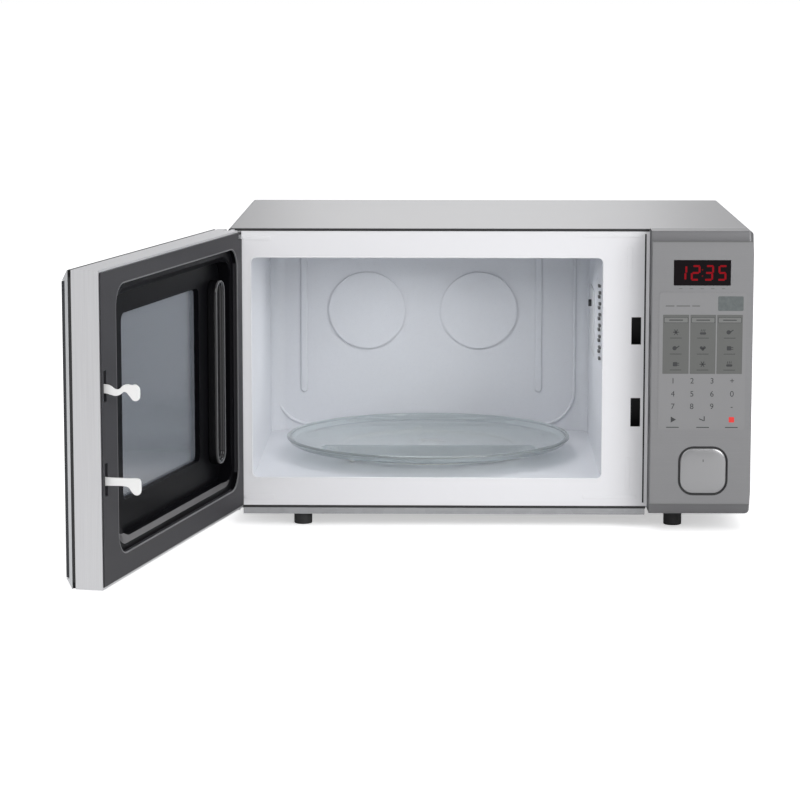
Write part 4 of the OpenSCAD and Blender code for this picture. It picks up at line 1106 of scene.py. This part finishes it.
def lofted(name, x, z, rings):
    """A square cushion: rounded square rings, each with its half width, corner radius and place, joined in turn."""
    points, faces, count = [], [], 36
    for half, radius, y in rings:
        inner = half - radius
        for sx, sz, start in ((1, 1, 0), (-1, 1, 90), (-1, -1, 180), (1, -1, 270)):
            for step in range(9):
                a = math.radians(start + step * 11.25)
                points.append((x + sx * inner + radius * math.cos(a), y, z + sz * inner + radius * math.sin(a)))
    for ring in range(len(rings) - 1):
        for i in range(count):
            j = (i + 1) % count
            faces.append((ring * count + i, ring * count + j, (ring + 1) * count + j, (ring + 1) * count + i))
    faces.append(tuple(range(count)))
    faces.append(tuple(reversed(range((len(rings) - 1) * count, len(rings) * count))))
    piece = mesh_piece(name, points, [], faces)
    edit(piece)
    bpy.ops.mesh.select_all(action="SELECT")
    bpy.ops.mesh.normals_make_consistent(inside=False)
    leave_edit()
    return smooth_shade(piece, 50)


def make_button():
    """The crowned square push button, and a dark ring round it whose black is painted shadow in the gap."""
    low, high = button_low, button_high
    centre_x, centre_z = (low.x + high.x) / 2, (low.z + high.z) / 2
    face = low.y
    half = (high.x - low.x) / 2
    rings = [(half, 14, 11.5), (half, 14, 3.0), (half - 0.3 * MM, 13.8, 2.2), (half - 1.0 * MM, 13.3, 1.6),
             (half - 2.4 * MM, 12.2, 1.15), (half - 6 * MM, 10, 0.7), (half - 12 * MM, 7, 0.28), (half - 18 * MM, 4, 0.06),
             (half - 21.5 * MM, 2, 0)]
    button = lofted("door_button", centre_x, centre_z, [(h, r * MM, face + y * MM) for h, r, y in rings])
    stem = tube("button_stem", (centre_x, (face + high.y) / 2 + 5 * MM, centre_z), 4 * MM,
                high.y - face - 10 * MM, "Y", 32)
    button = join("door_button", [button, soften(stem, 0.4 * MM)])
    fit(button, button_silver, "button", "release_button", "release_button")
    # A dark ring of painted shadow in the gap round the button.
    gap = 0.8 * MM
    gap_shadow_ring = rounded_tube("button_gap_shadow", low.x - gap, low.z - gap, high.x + gap, high.z + gap, 15 * MM,
                            fascia_low.y, gap)
    fit(gap_shadow_ring, black_rubber_and_shadow, "cabinet", "control_fascia")
    mark = print_bar("button_mark", centre_x, high.z - 13 * MM, 1.2 * MM, 2.6 * MM, face - 0.02 * MM)
    fit(mark, grey_ink_and_shade, "button", "release_button")
    coil = merged_copy("button_spring", "button_coil")
    smooth_shade(coil, 40)
    fit(coil, bright_plate, "cabinet", "button_spring", "button_spring")
    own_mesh(coil)


def make_panel():
    housing = merged_copy("control_housing", "panel_housing")
    span = corners("control_housing")
    reach = 9 * MM
    edit(housing)
    choose(housing, lambda centre, line: (abs(line.x) < 0.1 and abs(line.y) > 0.35 and centre.x > span[1].x - 0.1 * MM
                                          and (centre.z > span[1].z - reach or centre.z < span[0].z + reach)), "EDGE")
    bpy.ops.mesh.bevel(offset=5 * MM, segments=6, affect="EDGES")
    leave_edit()
    fit(soften(housing, 0.7 * MM, 3), silver_lacquer, "cabinet", "control_housing", "control_housing")
    housing.data.materials.append(black_plastic)
    housing.data.materials.append(painted_shade_lacquer)
    for side in housing.data.polygons:
        # Faces turned towards the door, left of the fascia, get black plastic, so that side reads as a dark line.
        if side.normal.x < -0.7 and side.center.x < fascia_low.x:
            side.material_index = 1
        # The top and bottom bevels near the front get the darker lacquer: painted shade where they turn from the light.
        elif abs(side.normal.z) > 0.3 and side.center.y < fascia_low.y + 8 * MM:
            side.material_index = 2
    # Dark grey strips at the fascia's top and bottom edges: painted shade in the gaps beside the bevels.
    shadow_strips = [block("fascia_shadow_strip", (fascia_low.x + 0.5 * MM, fascia_low.y - 0.15 * MM, z),
                   (fascia_high.x - 0.5 * MM, fascia_low.y + 0.8 * MM, z + 0.8 * MM))
             for z in (fascia_high.z - 0.1 * MM, fascia_low.z - 0.7 * MM)]
    fit(soften(join("fascia_shadow_strips", shadow_strips), 0.1 * MM), grey_ink_and_shade, "cabinet", "control_fascia")
    softened_node("control_fascia", "panel_fascia", 0.25 * MM, fascia_steel, "cabinet")
    finish_node("keypad_membrane", film_print)
    make_display()
    make_print()
    make_button()


# ------------------------------------------------------------------ inner works


def make_inner_works():
    finishes = {
        bright_plate: ["magnetron", "magnetron_filter", "waveguide", "capacitor_clamp", "turntable_motor"],
        pressed_aluminium: ["magnetron_fins", "hv_capacitor"],
        cream_plastic: ["release_lever", "air_duct"],
        black_plastic: ["latch_board", "microswitches", "hv_diode", "fan_shroud"],
        blue_plastic: ["relays"],
        grey_plastic: ["fan_blade"],
        core_steel: ["hv_transformer_core", "fan_motor", "lv_transformer"],
        coil_wire: ["hv_windings"],
        steatite: ["thermal_cutout", "lamp_holder"],
        board_green: ["control_pcb", "filter_board"],
        lamp_glass: ["oven_lamp", "mains_fuse"],
    }
    for material, nodes in finishes.items():
        for node in nodes:
            finish_node(node, material)


# ------------------------------------------------------------------ studio


def make_studio():
    deselect_all()
    bpy.ops.mesh.primitive_plane_add(size=60, location=(0, 20, 0))
    ground = named("studio_floor")
    paper = mottled("studio floor", (0.95, 0.95, 0.95), 0.85, 0.05, 0.01, 40, 2, 0.0)
    tree = paper.node_tree
    shader = tree.nodes["Principled BSDF"]
    shader.inputs["Emission Color"].default_value = (1, 1, 1, 1)
    facing = tree.nodes.new("ShaderNodeLightPath").outputs["Is Camera Ray"]
    tree.links.new(math_node(tree, "MULTIPLY", facing, 0.5), shader.inputs["Emission Strength"])
    ground.data.materials.append(paper)
    world = bpy.data.worlds.new("studio")
    bpy.context.scene.world = world
    world.use_nodes = True
    tree = world.node_tree
    backdrop = tree.nodes["Background"]
    seen = tree.nodes.new("ShaderNodeLightPath").outputs["Is Camera Ray"]
    tree.links.new(mix_node(tree, seen, (0.62, 0.62, 0.63, 1), (1, 1, 1, 1)), backdrop.inputs["Color"])
    backdrop.inputs["Strength"].default_value = 1.0
    lamps = [("key_light", (1.7, -2.6, 1.5), (0, 0, 0.15), 1.6, 38),
             ("fill_light", (-1.6, -2.4, 2.2), (0, 0, 0.1), 2.4, 12),
             ("top_light", (0.1, 0.0, 2.4), (0, 0, 0.2), 2.4, 14),
             ("back_light", (0.0, 3.4, 1.35), (0, 0, 0.3), 0.9, 3.0),
             ("oven_light", (-0.06, -0.05, 0.272), (-0.075, -0.09, 0.05), 0.22, 0.5)]
    for name, place, target, size, power in lamps:
        light = bpy.data.lights.new(name, "AREA")
        light.size = size
        light.energy = power
        lamp = bpy.data.objects.new(name, light)
        bpy.context.collection.objects.link(lamp)
        lamp.location = place
        lamp.visible_camera = False
        lamp.rotation_euler = (Vector(target) - Vector(place)).to_track_quat("-Z", "Y").to_euler()
    bpy.context.scene.view_settings.view_transform = "Standard"


def make_camera():
    lens = bpy.data.cameras.new("studio_camera")
    lens.lens = 131.3
    lens.sensor_width = 36.0
    camera = bpy.data.objects.new("studio_camera", lens)
    bpy.context.collection.objects.link(camera)
    camera.location = (-0.0372, cover_low.y - 3.0063, 0.5734)
    camera.rotation_euler = (math.radians(90 - 8.337), 0, math.radians(1.0415))
    bpy.context.scene.camera = camera


make_camera()
make_studio()
make_cabinet()
make_plate_details()
make_cavity()
make_tray()
make_door()
make_panel()
make_inner_works()
